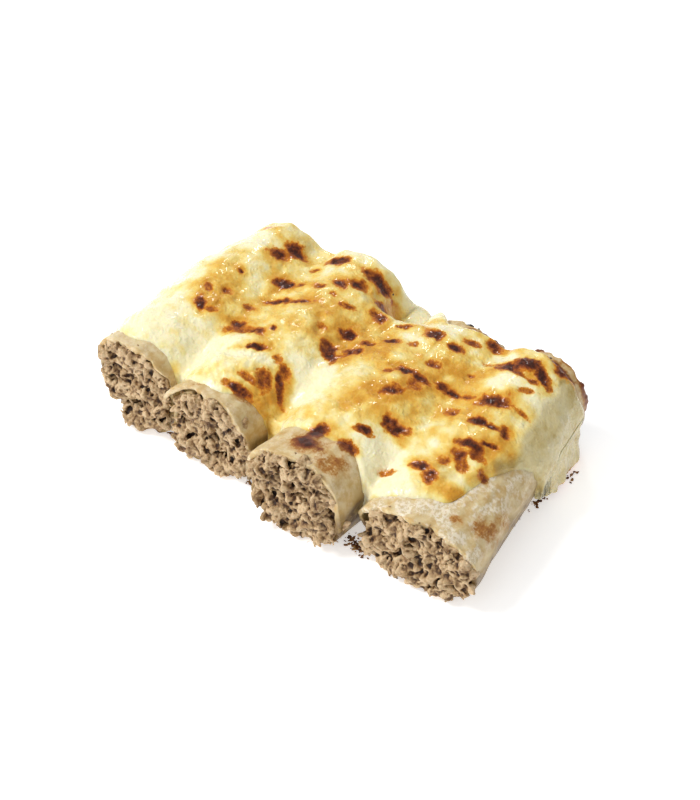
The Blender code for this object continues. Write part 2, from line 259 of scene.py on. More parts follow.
@dataclass(frozen=True)
class Roll:
    """One filled roll, with a pair of sizes for its front and its back end.

    Attributes:
        number: 1 at -X to 4 at +X.
        middle_x: Where its middle lies across the portion.
        end_y: Where its pasta ends.
        half_width: Half of its width.
        height: Its height over the surface that it rests on.
        habit: How it was wound.
    """

    number: int
    middle_x: tuple[float, float]
    end_y: tuple[float, float]
    half_width: tuple[float, float]
    height: tuple[float, float]
    habit: Habit

    TOP_EXPONENT = 2.25
    FLATTENING = 1.04
    SHEET = 1.3

    @classmethod
    def measured(cls, number: int, habit: Habit) -> "Roll":
        """Reads one roll's sizes from its pasta sheet in the frame.

        Args:
            number: Which roll.
            habit: How it was wound.

        Returns:
            The roll.
        """
        points = points_of(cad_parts[f"pasta_{number}"])
        cut = 2.0
        ends = []
        for end, near in ((points[:, 1].min(), 1), (points[:, 1].max(), -1)):
            ring = points[(points[:, 1] - end) * near < cut]
            upper = ring[ring[:, 2] > 0.4 * ring[:, 2].max()]
            low, high = upper[:, 0].min(), upper[:, 0].max()
            ends.append(((low + high) / 2, ring[:, 1].mean(), (high - low) / 2, ring[:, 2].max()))
        return cls(number, *[tuple(map(float, pair)) for pair in zip(*ends)], habit)

    def at(self, pair: tuple[float, float], along: np.ndarray) -> np.ndarray:
        """A size at a share of the way from the front end to the back end."""
        return pair[0] + (pair[1] - pair[0]) * along

    def along(self, y: np.ndarray) -> np.ndarray:
        """The share of the way from the front end to the back end, from 0 to 1, at y."""
        return np.clip((y - self.end_y[0]) / (self.end_y[1] - self.end_y[0]), 0.0, 1.0)

    def outline(self, along: np.ndarray, angle: np.ndarray, inset: np.ndarray) -> tuple[np.ndarray, ...]:
        """Points on the roll's outline.

        Args:
            along: The share of the way from front to back.
            angle: Degrees round the roll.
            inset: How far inside the outline, in mm.

        Returns:
            The x and the z of each point.
        """
        cosine, sine = np.cos(np.radians(angle)), np.sin(np.radians(angle))
        power = 2 / np.where(sine >= 0, self.TOP_EXPONENT, self.habit.sag)
        aside = np.sign(cosine) * np.abs(cosine) ** power
        up = np.sign(sine) * np.abs(sine) ** power
        up = np.where(sine < 0, np.maximum(-1.0, self.FLATTENING * up), up)
        half_height = self.at(self.height, along) / 2
        x = self.at(self.middle_x, along) + (self.at(self.half_width, along) - inset) * aside
        x = x + self.habit.lean * np.minimum(0.0, up) ** 2
        return x, half_height + (half_height - inset) * up

    def top(self, x: np.ndarray, y: np.ndarray, more: np.ndarray, wider: float) -> np.ndarray:
        """The height of the roll's upper half, or of a coat on it.

        Args:
            x: Where across the portion.
            y: Where along the rolls.
            more: The coat's thickness on the crown.
            wider: Its thickness at the sides.

        Returns:
            The height at each place, and 0 beside the roll.
        """
        along = self.along(y)
        half_height = self.at(self.height, along) / 2
        aside = np.abs(x - self.at(self.middle_x, along)) / (self.at(self.half_width, along) + wider)
        arch = np.clip(1 - np.clip(aside, 0, 1) ** self.TOP_EXPONENT, 0, 1) ** (1 / self.TOP_EXPONENT)
        return np.where(aside < 1, half_height + (half_height + more) * arch, 0.0)


HABITS = (
    Habit(sag=2.0, lean=4.0, starts=200, turns=385, free_edge_in=0.0),
    Habit(sag=2.8, lean=0.0, starts=152, turns=395, free_edge_in=-1.0, tip=12),
    Habit(sag=2.8, lean=0.0, starts=188, turns=385, free_edge_in=0.0),
    Habit(sag=2.4, lean=0.0, starts=196, turns=292, free_edge_in=4.0),
)


# ---------------------------------------------------------------- patches and browned spots


@dataclass(frozen=True)
class Patch:
    """An oval place on a surface that differs from the rest.

    Attributes:
        x: Its middle across the portion.
        y: Its middle along the rolls, or its height on a cut face.
        length: How long it is.
        width: How wide it is.
        turn: The direction of its long side, in degrees from +X.
        level: How much it differs: how browned, how golden, how thin and shaded, or how deep in mm.
        lift: How far it blistered up, or sank in where it is negative.
    """

    x: float
    y: float
    length: float
    width: float
    turn: float
    level: float
    lift: float = 0.3

    def reach(self, x: np.ndarray, y: np.ndarray, ragged: np.ndarray | float = 0.0) -> np.ndarray:
        """How far each place is from the patch's middle, with 1 at its edge.

        Args:
            x: Across the portion.
            y: Along the rolls, or up on a cut face.
            ragged: Noise that makes the edge uneven.

        Returns:
            One number for each place.
        """
        dx, dy = x - self.x, y - self.y
        cosine, sine = math.cos(math.radians(self.turn)), math.sin(math.radians(self.turn))
        far = np.hypot((dx * cosine + dy * sine) / self.length, (dy * cosine - dx * sine) / self.width) * 2
        return far * (1 + 0.4 * ragged)


def spread(patches: tuple[Patch, ...], points: np.ndarray, soft: float = 1.5) -> np.ndarray:
    """The sum of the patches' levels at each point, each fading out past its edge."""
    total = np.zeros(len(points))
    for patch in patches:
        total += patch.level * (1 - smooth(patch.reach(points[:, 0], points[:, 1]), 0.35, soft))
    return total


SPOTS = (
    Patch(-56.5, 31.5, 4, 2.5, 33, 0.45), Patch(-46, 23, 6.5, 5, 35, 0.8), Patch(-43, 28.7, 6.5, 6, 20, 1),
    Patch(-33, 26, 4, 1.8, 33, 0.65), Patch(-29, 32.5, 7, 5, 20, 1, 0.6), Patch(-36.5, 13.8, 8, 4.6, 25, 1),
    Patch(-31.5, 15.6, 4.5, 2.6, 33, 0.65), Patch(-25, 17.5, 3.8, 2.2, 33, 0.75),
    Patch(-20.5, 22.5, 5.5, 3.6, -10, 0.88), Patch(-19, 17, 3.2, 2, 0, 0.5),
    Patch(-15.5, 26.5, 6, 4.4, 30, 1), Patch(-13.5, 33.4, 9.5, 5.4, 0, 1, 0.8),
    Patch(-4.5, 26.5, 8.5, 4.2, -5, 0.95), Patch(-12.5, 15.5, 6, 2.4, 20, 0.65),
    Patch(-3.4, 19.8, 6, 4.6, 0, 0.85), Patch(-6, 6.8, 5, 4.6, 33, 1), Patch(0.3, 1.2, 7, 3.6, 50, 0.92),
    Patch(-5.5, -3.6, 8.5, 4.2, -42, 1), Patch(-8.2, -1.8, 4, 3.2, 0, 0.88), Patch(-13, 3, 5, 2.6, 0, 0.5),
    Patch(-1.8, -2.4, 4, 2, 30, 0.65), Patch(1.5, 7, 5, 3.2, 33, 0.75), Patch(-48.5, -12.5, 6, 2.8, -50, 1),
    Patch(-51.4, -5.5, 4, 2.4, -20, 0.68), Patch(-44.5, -12.5, 4.5, 2.4, 30, 0.55),
    Patch(-46.3, -2.3, 4, 2.8, 30, 0.62), Patch(-37.8, -2.7, 4, 3.2, 0, 0.65),
    Patch(-48.7, 7.3, 2.2, 1.7, 0, 0.9), Patch(-35.5, -10.6, 5, 3.4, 20, 0.92),
    Patch(-33, -13, 9, 4, 20, 0.6), Patch(-27.3, -11.4, 5, 3.4, 0, 0.85), Patch(-23.3, -8, 2, 1.7, 0, 0.9),
    Patch(-22.2, -17.8, 6, 2.8, 33, 1), Patch(-32, 5.3, 9, 3, 28, 1), Patch(-25.7, 7.9, 8, 2.2, 35, 0.88),
    Patch(-14.5, -17.5, 4.5, 3, -20, 0.5), Patch(-10.5, -19, 5.5, 3.6, -50, 0.62),
    Patch(-9, -23.5, 8.5, 2.8, -50, 0.75), Patch(-13, -25.5, 8, 5, -50, 0.64),
    Patch(-16.3, -33.2, 8, 3, 15, 1), Patch(-20.5, -34, 4.5, 2.6, 15, 0.5),
    Patch(-17, -29, 6.5, 2.2, 10, 0.55), Patch(7, 12, 6, 3.4, 10, 0.97),
    Patch(13.5, 13.3, 4, 2.8, 33, 0.55), Patch(5.4, 20.5, 6, 2, 15, 0.68),
    Patch(16.4, 20.8, 6.5, 4.4, 0, 1, 0.6), Patch(24.8, 19.3, 5.5, 3.8, 0, 0.88),
    Patch(28, 24.8, 6, 2.8, 10, 0.75), Patch(33.2, 28.5, 5.6, 3.6, -30, 0.88),
    Patch(22.5, 33, 8, 3, 10, 0.6), Patch(28, 34.3, 7.5, 2.8, 0, 0.82), Patch(35, 32, 4.5, 3, 0, 0.6),
    Patch(39, 33, 6, 3.2, 10, 0.92), Patch(44.5, 35, 8, 2.4, 20, 0.85), Patch(52.5, 31, 4, 3.2, 0, 0.88),
    Patch(57, 29.5, 7.5, 4.6, -10, 0.8), Patch(43.5, 20.8, 8.5, 3.8, 15, 1),
    Patch(47.8, 23.4, 8.5, 4.8, 18, 1, -0.6), Patch(52.8, 22.8, 8.5, 3.8, -35, 1),
    Patch(46.5, 19.4, 6.5, 2.4, -10, 0.7), Patch(52, 18.8, 5, 2.2, 0, 0.72),
    Patch(39.5, 21.5, 4.5, 1.8, 10, 0.65), Patch(36.5, 20.6, 4, 2.4, 10, 0.4),
    Patch(52.4, 14.4, 6.5, 2.4, 25, 0.52), Patch(33, 3.9, 10.5, 3, 3, 1),
    Patch(38.8, 4.5, 5.5, 2.2, 8, 0.78), Patch(47, 5.7, 10, 4.4, 22, 1, 0.5),
    Patch(54.5, 7, 7.5, 1.8, -8, 0.55), Patch(47, -3.7, 5.6, 3.6, 20, 1),
    Patch(52.2, -3.2, 5.4, 2.2, 10, 0.88), Patch(56, -2.7, 5, 3.4, -50, 0.8),
    Patch(38, -3.4, 4, 4.4, -50, 0.55), Patch(50.4, -12.5, 8.2, 3.2, 8, 1), Patch(55, -9, 5.5, 2, 25, 0.88),
    Patch(53.5, -14.5, 6.5, 3.2, 0, 0.72), Patch(50, -17, 5.6, 4.4, -50, 0.82),
    Patch(47, -21, 4, 3, 20, 0.62), Patch(52.7, -20, 4.4, 3.8, -50, 0.55),
    Patch(58.2, -18, 3, 2.8, 0, 0.62), Patch(42, -25.6, 6.5, 3, 5, 0.88),
    Patch(46.5, -27, 5.5, 4.2, -30, 0.78), Patch(34, -30, 4.5, 2.4, 20, 0.4),
    Patch(24, 9.4, 5.5, 3.2, 10, 0.68), Patch(35, 13, 3, 1.8, 10, 0.5),
    Patch(27.8, -18, 7, 4.6, -10, 1, 0.6), Patch(31.2, -17.2, 4.5, 2.6, 10, 0.78),
    Patch(20.6, -8.6, 5.6, 4.4, 30, 0.93), Patch(24.3, -1.8, 5, 5, -50, 0.52),
    Patch(19.4, 1.7, 6.5, 3.4, 10, 0.97), Patch(24.6, 1.5, 6.4, 2.8, -5, 0.88),
    Patch(14.7, -1.7, 3.6, 2.4, 20, 0.62), Patch(22.8, -25.2, 5, 3.4, 10, 0.88),
    Patch(21.8, -32, 5.6, 3.4, 0, 0.78), Patch(12.2, -38.4, 7.5, 4.8, 15, 1, 0.7),
    Patch(12.3, -33, 6.8, 4, 60, 0.97, 0.6),
)
TOASTED = (
    Patch(21, -41.5, 10, 5, 0, 0.3), Patch(22.3, -38.5, 5, 3.4, 0, 0.42), Patch(24, -37, 6, 4, -60, 0.24),
    Patch(59.5, -33.5, 4, 3.4, 0, 0.3), Patch(66.5, -29.5, 8, 6, 60, 0.36), Patch(68, -22, 8, 4, 80, 0.2),
    Patch(-28, -38, 5, 2, 20, 0.2), Patch(-66, -38, 5, 4, 0, 0.16), Patch(58, 36, 26, 5, -20, 0.6),
    Patch(5, 38, 30, 4, 0, 0.25),
)
GOLDEN = (
    Patch(-5, 3, 36, 24, 15, 0.3), Patch(-20, 12, 44, 14, 8, 0.26), Patch(30, 4, 52, 22, 8, 0.28),
    Patch(-50, 4, 16, 12, 0, 0.42), Patch(-49, -8, 14, 16, 0, 0.4), Patch(14, -16, 24, 16, 0, 0.34),
    Patch(30, -8, 26, 16, 10, 0.2), Patch(-10, -26, 12, 18, 0, 0.3), Patch(33, 13, 16, 9, 10, 0.42),
    Patch(-33, -8, 24, 14, 10, 0.3), Patch(58, -9, 14, 9, -20, 0.5), Patch(55.5, -27.5, 13, 5, 15, 0.75),
    Patch(40, -37, 6, 5, 0, 0.35), Patch(0, 27, 40, 8, 0, 0.2), Patch(36, 30, 30, 6, 0, 0.2),
    Patch(-54, 32, 14, 6, 30, 0.3), Patch(-34, 20, 20, 12, 20, 0.14), Patch(7, 4, 20, 10, 0, 0.16),
    Patch(48, -20, 12, 7, 0, 0.2), Patch(51, 20.5, 5, 3, 0, 0.5), Patch(-68, -12, 18, 60, 0, -0.4),
    Patch(-56, -24, 18, 20, 0, -0.45), Patch(-36, -24, 22, 16, 30, -0.5), Patch(-18, -23, 14, 9, 0, -0.4),
    Patch(-4, -14, 12, 22, 20, -0.5), Patch(30, -28, 22, 14, -10, -0.5), Patch(46, 13.5, 12, 6, 10, -0.6),
    Patch(40, 25.5, 10, 4, 0, -0.5), Patch(-40, -14, 8, 8, 0, -0.2), Patch(-56, 24, 18, 14, 0, -0.35),
    Patch(19, 26, 20, 6, 0, -0.4), Patch(-44, 8, 8, 16, -50, -0.15), Patch(2, -10, 8, 8, 0, -0.3),
    Patch(14, 6, 7, 5, 0, -0.25), Patch(-8, 40, 40, 10, 0, -0.2), Patch(57, 14, 10, 22, 0, -0.25),
    Patch(36, -34, 14, 8, 0, -0.4), Patch(-10, 10, 6, 8, 0, -0.15),
)
# Places of thin, see-through sauce; those on the right flank also stand for painted shade there.
THIN_AND_SHADED = (
    Patch(-46, 35, 20, 8, 0, 0.5), Patch(17, 27, 26, 6, 0, 0.5), Patch(49, -24, 13, 7, 10, 0.6),
    Patch(-14, -36, 14, 8, -30, 0.6), Patch(-6, -34, 10, 8, -60, 0.5), Patch(60, 30, 14, 12, 0, 0.7),
    Patch(65, -10, 10, 10, 0, 0.6), Patch(60, 12, 10, 30, 0, 0.5), Patch(-4, 22, 16, 6, 10, 0.35),
    Patch(-14, 12, 20, 5, 20, 0.25), Patch(56, -13, 9, 7, 0, 0.35), Patch(50, 29, 12, 4, 0, 0.4),
    Patch(-38, 28, 12, 6, 30, 0.4), Patch(62, -22, 10, 8, 0, 0.4), Patch(44, 8, 8, 4, 0, 0.2),
)


def browned(points: np.ndarray, marks: tuple[Patch, ...]) -> tuple[np.ndarray, np.ndarray, np.ndarray]:
    """How browned, how golden and how blistered each point is.

    Args:
        points: Points in mm.
        marks: The browned spots.

    Returns:
        The char and the golden halo, each from 0 to 1, and the lift in mm.
    """
    ragged = 0.8 * unevenness(points, 3.4, 2) + 0.7 * unevenness(points, 1.5, 3)
    broken = 1 + 0.35 * unevenness(points, 2.4, 4) + 0.25 * unevenness(points, 1.2, 5)
    char, halo, lift = (np.zeros(len(points)) for _ in range(3))
    for mark in marks:
        reach = mark.reach(points[:, 0], points[:, 1], ragged)
        char = np.maximum(char, mark.level * broken * (1 - smooth(reach, 0.35, 1.55)))
        halo = np.maximum(halo, mark.level * (1 - smooth(reach, 0.5, 2.9)))
        lift = lift + mark.lift * (1 - smooth(reach, 0.5, 1.3))
    return np.clip(char, 0, 1), halo, np.clip(lift, -1.0, 1.0)


# ---------------------------------------------------------------- the pasta


def roughen(piece: Piece, grain: float, height: float, group: str = "") -> None:
    """Raises and sinks the surface in soft lumps.

    Args:
        piece: The mesh object.
        grain: The size of one lump in mm.
        height: From the deepest to the highest in mm.
        group: The vertex group that it is limited to, if any.
    """
    lumps = bpy.data.textures.new(f"{piece.name}_{grain}", "CLOUDS")
    lumps.noise_scale = grain * MM
    lumps.noise_depth = 2
    finish_with(
        piece, "DISPLACE", texture=lumps, texture_coords="LOCAL", strength=height * MM, mid_level=0.5,
        vertex_group=group,
    )


@dataclass
class PastaSheet:
    """The boiled sheet that winds round one roll and laps under itself.

    Attributes:
        roll: The roll that it wraps.
        bare_length: How far behind the cut end the sheet dried, with no sauce on it.
        dried: How dry it became there, from 0 to 1.
        lap_ramp: Over how many degrees it slides under itself.
        free_edge_ramp: Over how many degrees its outer edge lifts or curls.
        round_steps: How many faces it has round the roll.
        long_steps: How many faces it has along the roll.
    """

    roll: Roll
    bare_length: float = 16.0
    dried: float = 1.0
    lap_ramp: float = 55.0
    free_edge_ramp: float = 28.0
    round_steps: int = 150
    long_steps: int = 84

    def build(self) -> Piece:
        """Models the sheet.

        Returns:
            The finished piece.
        """
        bpy.ops.object.select_all(action="DESELECT")
        steps = {"x_subdivisions": self.round_steps, "y_subdivisions": self.long_steps}
        bpy.ops.mesh.primitive_grid_add(size=1, **steps)
        sheet = bpy.context.object
        sheet.name = f"pasta_sheet_{self.roll.number}"
        grid = points_of(sheet) * MM + 0.5
        place_points(sheet, self.wound(grid[:, 0], grid[:, 1]))
        self.face_outwards(sheet)
        finish_with(sheet, "SOLIDIFY", thickness=Roll.SHEET * MM, offset=-1.0, use_even_offset=True)
        edges = {"limit_method": "ANGLE", "angle_limit": math.radians(50)}
        finish_with(sheet, "BEVEL", width=0.35 * MM, segments=2, **edges)
        points = points_of(sheet)
        char, halo, _ = browned(points, SPOTS + TOASTED)
        # Painted shade: the sheet is coloured olive and darker low down between the rolls.
        dry, low_shade = self.dryness(points), self.low_shading(points)
        up = smooth(points[:, 2], 9, 17)
        char = char * up
        place_points(sheet, points + normals_of(sheet) * self.relief(points, dry, char)[:, None])
        keep_values(sheet, "char", char)
        keep_values(sheet, "toast", halo * up)
        keep_values(sheet, "dry", dry)
        keep_values(sheet, "low_shade", low_shade)
        self.keep_above_floor(sheet)
        sheet.data.shade_smooth()
        return sheet

    def wound(self, turn: np.ndarray, along: np.ndarray) -> np.ndarray:
        """Winds a flat grid round the roll.

        Args:
            turn: The share of the way round, from the outer edge.
            along: The share of the way from front to back.

        Returns:
            Points in mm.
        """
        roll, habit = self.roll, self.roll.habit
        turned = turn * habit.turns
        along = along + 0.42 * along * (along - 1) * (1 - 0.9 * along)
        corner = np.exp(-((along / 0.11) ** 2)) * (1 - smooth(turned, 0, 70))
        angle = habit.starts - turned + habit.tip * corner
        x, z = roll.outline(along, angle, self.inset(turned) - 1.4 * corner * (habit.tip > 0))
        y = roll.at(roll.end_y, along)
        ragged = np.stack([x, np.full_like(x, 7.0 * roll.number), z], 1)
        wave = 1.1 * unevenness(ragged, 6.0, 4) + 0.6 * unevenness(ragged, 1.7, 5)
        wave += 0.7 * np.sin(np.radians(2 * angle) + 1.7 * roll.number)
        near_end = np.exp(-along * 40) - np.exp(-(1 - along) * 40)
        return np.stack([x, y + wave * near_end - 2.0 * corner * (habit.tip > 0), z], 1)

    def inset(self, turned: np.ndarray) -> np.ndarray:
        """How far in the sheet lies after turning this many degrees from its outer edge."""
        under = (Roll.SHEET + 0.3) * smooth(turned, 360 - self.lap_ramp, 350)
        return under + self.roll.habit.free_edge_in * (1 - smooth(turned, 0, self.free_edge_ramp))

    def face_outwards(self, sheet: Piece) -> None:
        """Turns the sheet's faces away from the middle of the roll."""
        middle = (self.roll.at(self.roll.middle_x, 0.5), 0, self.roll.height[0] / 2)
        away = points_of(sheet) - np.array(middle)
        away[:, 1] = 0
        if (normals_of(sheet) * away).sum() < 0:
            edit_all(sheet, (bpy.ops.mesh.flip_normals, {}))

    def keep_above_floor(self, sheet: Piece) -> None:
        """Flattens what the roll rests on."""
        points = points_of(sheet)
        points[:, 2] = np.maximum(points[:, 2], 0.05)
        place_points(sheet, points)

    def relief(self, points: np.ndarray, dry: np.ndarray, char: np.ndarray) -> np.ndarray:
        """The height of the sheet's wrinkles, its flaking where it dried and its blisters, in mm."""
        wrinkles = 0.5 * unevenness(points, (6.0, 14.0, 6.0), 31)
        wrinkles += 0.3 * unevenness(points, (2.4, 6.0, 2.4), 32)
        creases = 0.16 * (1 - 2 * np.abs(unevenness(points, (2.2, 5.5, 2.2), 33)))
        flakes = 0.12 * unevenness(points, 0.95, 34) + 0.26 * unevenness(points, 2.4, 35)
        blisters = smooth(char, 0.3, 0.8) * (0.35 + 0.5 * unevenness(points, 1.1, 36))
        return wrinkles + creases + dry * flakes + blisters

    def dryness(self, points: np.ndarray) -> np.ndarray:
        """How dry and pale each point of the sheet is: its bare front end dried in the oven."""
        from_front = points[:, 1] - self.roll.end_y[0]
        up = points[:, 2] / self.roll.at(self.roll.height, self.roll.along(points[:, 1]))
        patchy = 0.25 * unevenness(points, 5.0, 37)
        bare = smooth(from_front, 3 * self.bare_length, self.bare_length)
        return self.dried * smooth(up + patchy, 0.45, 0.9) * bare

    def low_shading(self, points: np.ndarray) -> np.ndarray:
        """How much painted shade each point gets: the sheet turns olive and darker low down between the
        rolls.
        """
        up = points[:, 2] / self.roll.at(self.roll.height, self.roll.along(points[:, 1]))
        return np.clip(smooth(up + 0.2 * unevenness(points, 6.0, 38), 0.85, 0.35), 0, 1)


# ---------------------------------------------------------------- the filling


PITS = {
    1: (Patch(-53, 10, 23, 2.6, 23, 4.0), Patch(-46, 2.5, 7, 3.4, 10, 4.5), Patch(-65, 27, 4, 3, 60, 2.5),
        Patch(-47, 17, 4, 2.5, 0, 2.5), Patch(-57, 22, 4, 3, 20, 2.0), Patch(-53, 4, 12, 6, 15, -1.5)),
    2: (Patch(-22, 13, 6, 4.5, -30, 4.5), Patch(-31, 10, 4, 3, 20, 3.0), Patch(-17, 9, 4, 3, 0, 3.0),
        Patch(-28, 20, 5, 2.5, 30, 2.5), Patch(-12, 20, 7, 2.5, -60, 3.0), Patch(-26, 5, 8, 4, 0, -1.5)),
    3: (Patch(7.5, 20, 5, 4, 20, 4.5), Patch(13, 20, 4, 3, 0, 4.0), Patch(10, 25, 5, 3, 30, 3.0),
        Patch(16, 10, 5, 2.5, -20, 3.0), Patch(27, 15, 11, 3.2, -75, 5.5), Patch(1, 14, 4, 3, 0, 2.0),
        Patch(2, 6, 12, 7, -20, -1.8)),
    4: (Patch(34, 12, 8, 3.6, -60, 5.5), Patch(43, 20, 7, 3, 12, 4.5), Patch(57, 20, 6, 3, -10, 4.0),
        Patch(50, 14, 5, 3, 40, 3.0), Patch(63, 16, 5, 2.6, -30, 3.5), Patch(45, 8, 5, 2.4, 10, 2.5),
        Patch(60, 8, 10, 5, 0, -1.5)),
}


@dataclass
class MinceFilling:
    """The minced filling of one roll, with shreds and crumbs at its cut ends.

    Attributes:
        roll: The roll that it fills.
        shreds: How many shreds and crumbs show at the front end. The back end has fewer.
        thickness: The smallest and the largest shred's thickness.
        length: The smallest and the largest shred's length.
        set_back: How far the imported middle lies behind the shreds' faces.
        grain: The finest size that its surface keeps.
    """

    roll: Roll
    shreds: int = 900
    thickness: tuple[float, float] = (0.6, 3.6)
    length: tuple[float, float] = (1.5, 8.5)
    set_back: float = 0.8
    grain: float = 0.29

    def build(self) -> Piece:
        """Models the filling.

        Returns:
            The finished piece.
        """
        chance = random.Random(self.roll.number * 31)
        core = self.packed_core()
        self.shape_ends(core)
        parts = [core, *self.scatter(core, chance, End.FRONT, self.shreds)]
        parts += self.scatter(core, chance, End.BACK, self.shreds // 3)
        bpy.ops.object.select_all(action="DESELECT")
        for part in parts:
            part.select_set(True)
        bpy.context.view_layer.objects.active = core
        bpy.ops.object.join()
        finish_with(core, "REMESH", mode="VOXEL", voxel_size=self.grain * MM)
        finish_with(core, "SMOOTH", factor=0.35, iterations=1)
        roughen(core, 3.2, 1.2)
        roughen(core, 0.7, 0.35)
        points = points_of(core)
        points[:, 2] = np.maximum(points[:, 2], 0.12)
        place_points(core, points)
        front, back = self.roll.end_y
        # Painted shade: the pit value darkens the hollows and the places deep behind the front face.
        keep_values(core, "pit", np.maximum(hollows(core, 40, 0.8), 0.85 * self.sunk(points)))
        # Random paler tone, with painted shade in the fine hollows and painted light on the ridges.
        keep_values(core, "pale", 1.1 * unevenness(points, 3.2, 41) + 0.9 - 2.0 * hollows(core, 8, 0.35))
        thin_out(core, (points[:, 1] > front + 7) & (points[:, 1] < back - 4), 0.03)
        core.data.shade_smooth()
        return core

    def packed_core(self) -> Piece:
        """Copies the filling's solid from the frame and swells it a little, into its sheet."""
        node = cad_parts[f"filling_{self.roll.number}"]
        core = node.copy()
        core.data = node.data.copy()
        core.parent = None
        for key in list(core.keys()):
            del core[key]
        core.name = f"mince_{self.roll.number}"
        core.data.materials.clear()
        bpy.context.scene.collection.objects.link(core)
        edit_all(core, (bpy.ops.mesh.remove_doubles, {"threshold": 0.01 * MM}))
        points = points_of(core) + normals_of(core) * (1, 0, 1) * 0.3
        points[:, 2] = np.maximum(points[:, 2], 0.5)
        place_points(core, points)
        finish_with(core, "REMESH", mode="VOXEL", voxel_size=0.9 * MM)
        return core

    def shape_ends(self, core: Piece) -> None:
        """Moves the core's end faces in, deeper at the pits, so that the shreds on them stand out."""
        points = points_of(core)
        for end in End:
            outside = (self.roll.end_y[end.value] - points[:, 1]) * end.inwards
            depth = self.set_back + 1.6 * unevenness(points, (5.0, 99.0, 5.0), 43 + end.value)
            depth = depth + 3.4 * smooth(unevenness(points, (2.8, 99.0, 2.8), 45 + end.value), 0.12, 0.42)
            if end is End.FRONT:
                depth = depth + sum(
                    pit.level * (1 - smooth(pit.reach(points[:, 0], points[:, 2]), 0.4, 1.3))
                    for pit in PITS[self.roll.number]
                )
            points[:, 1] += end.inwards * depth * smooth(outside, -12, 0)
        place_points(core, points)

    def sunk(self, points: np.ndarray) -> np.ndarray:
        """How deep each point lies behind the front face, from 0 to 1, for painted shade that darkens there.
        """
        behind = points[:, 1] - self.roll.end_y[0]
        return smooth(behind, 2.4, 6.0)

    def scatter(self, core: Piece, chance: random.Random, end: End, count: int) -> list[Piece]:
        """Lays shreds over one end of the core.

        Args:
            core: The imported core.
            chance: The source of random numbers.
            end: The end that they cover.
            count: How many shreds to try.

        Returns:
            The shreds, as separate objects.
        """
        half_width, height = self.roll.half_width[end.value], self.roll.height[end.value]
        middle, edge = self.roll.middle_x[end.value], self.roll.end_y[end.value]
        inwards = Vector((0, end.inwards, 0))
        places = []
        for _ in range(count):
            x = middle + chance.uniform(-1, 1) * (half_width + 3)
            z = chance.uniform(0.8, height - 1)
            in_pit = end is End.FRONT and any(
                pit.level > 0 and pit.reach(x, z) < 0.8 for pit in PITS[self.roll.number]
            )
            start = Vector((x, edge - end.inwards * 30, z)) * MM
            hit, place, *_ = core.ray_cast(start, inwards, distance=45 * MM)
            hollow = abs(place.y / MM - edge) > 3.2 and chance.random() < 0.8
            if hit and not hollow and not (in_pit and chance.random() < 0.85):
                places.append(place)
        patterns = [self.shred_pattern(number) for number in range(9)]
        shreds = []
        for place in places:
            slim, stout = self.thickness
            thick = (slim + (stout - slim) * chance.random() ** 2.4) / 2
            long = max(thick, chance.uniform(*self.length) / 2 * chance.uniform(0.4, 1.0))
            angles = (chance.gauss(0, 0.5), chance.uniform(0, math.tau), chance.gauss(0, 0.4))
            stretch = Matrix.Diagonal((long, thick * chance.uniform(0.9, 1.4), thick, 1))
            sunk = inwards * (chance.uniform(-0.7, 0.5) + thick * 0.4) * MM
            shred = bpy.data.objects.new("shred", chance.choice(patterns).copy())
            turned = Matrix.Translation(place + sunk) @ Euler(angles).to_matrix().to_4x4()
            shred.data.transform(turned @ stretch @ Matrix.Scale(MM, 4))
            shreds.append(shred)
        for shred in shreds:
            bpy.context.scene.collection.objects.link(shred)
        return shreds

    def shred_pattern(self, number: int) -> bpy.types.Mesh:
        """One bent, lumpy shred of meat, 2 long and 2 thick, as a mesh to copy."""
        bpy.ops.object.select_all(action="DESELECT")
        bpy.ops.mesh.primitive_ico_sphere_add(subdivisions=2, radius=1)
        shred = bpy.context.object
        points = np.array([vertex.co[:] for vertex in shred.data.vertices])
        points = points * (1 + 0.5 * unevenness(points, 0.9, 20 + number))[:, None]
        points[:, 2] += (0.9 - 0.25 * number) * points[:, 0] ** 2
        points[:, 1] += 0.6 * np.sin(points[:, 0] * 2.2 + number)
        shred.data.vertices.foreach_set("co", points.astype(np.float32).ravel())
        mesh = shred.data
        bpy.data.objects.remove(shred)
        return mesh


def hollows(piece: Piece, rounds: int, deep: float) -> np.ndarray:
    """How deep each mesh point lies in a pit, from 0 on a ridge to 1 deep down.

    Args:
        piece: The mesh object.
        rounds: How many times the surface is averaged. More rounds find wider pits.
        deep: How deep a pit is that counts as 1, in mm.

    Returns:
        One number for each point.
    """
    points, normals = points_of(piece), normals_of(piece)
    ends = np.empty(len(piece.data.edges) * 2, np.int32)
    piece.data.edges.foreach_get("vertices", ends)
    first, second = ends[::2], ends[1::2]
    count = np.bincount(ends, minlength=len(points))[:, None]
    calm = points.copy()
    for _ in range(rounds):
        total = np.zeros_like(points)
        for axis in range(3):
            for here, there in ((first, second), (second, first)):
                total[:, axis] += np.bincount(here, calm[there, axis], len(points))
        calm = total / np.maximum(count, 1)
    return smooth(((calm - points) * normals).sum(1), -0.5 * deep, deep)


# ---------------------------------------------------------------- the gratin


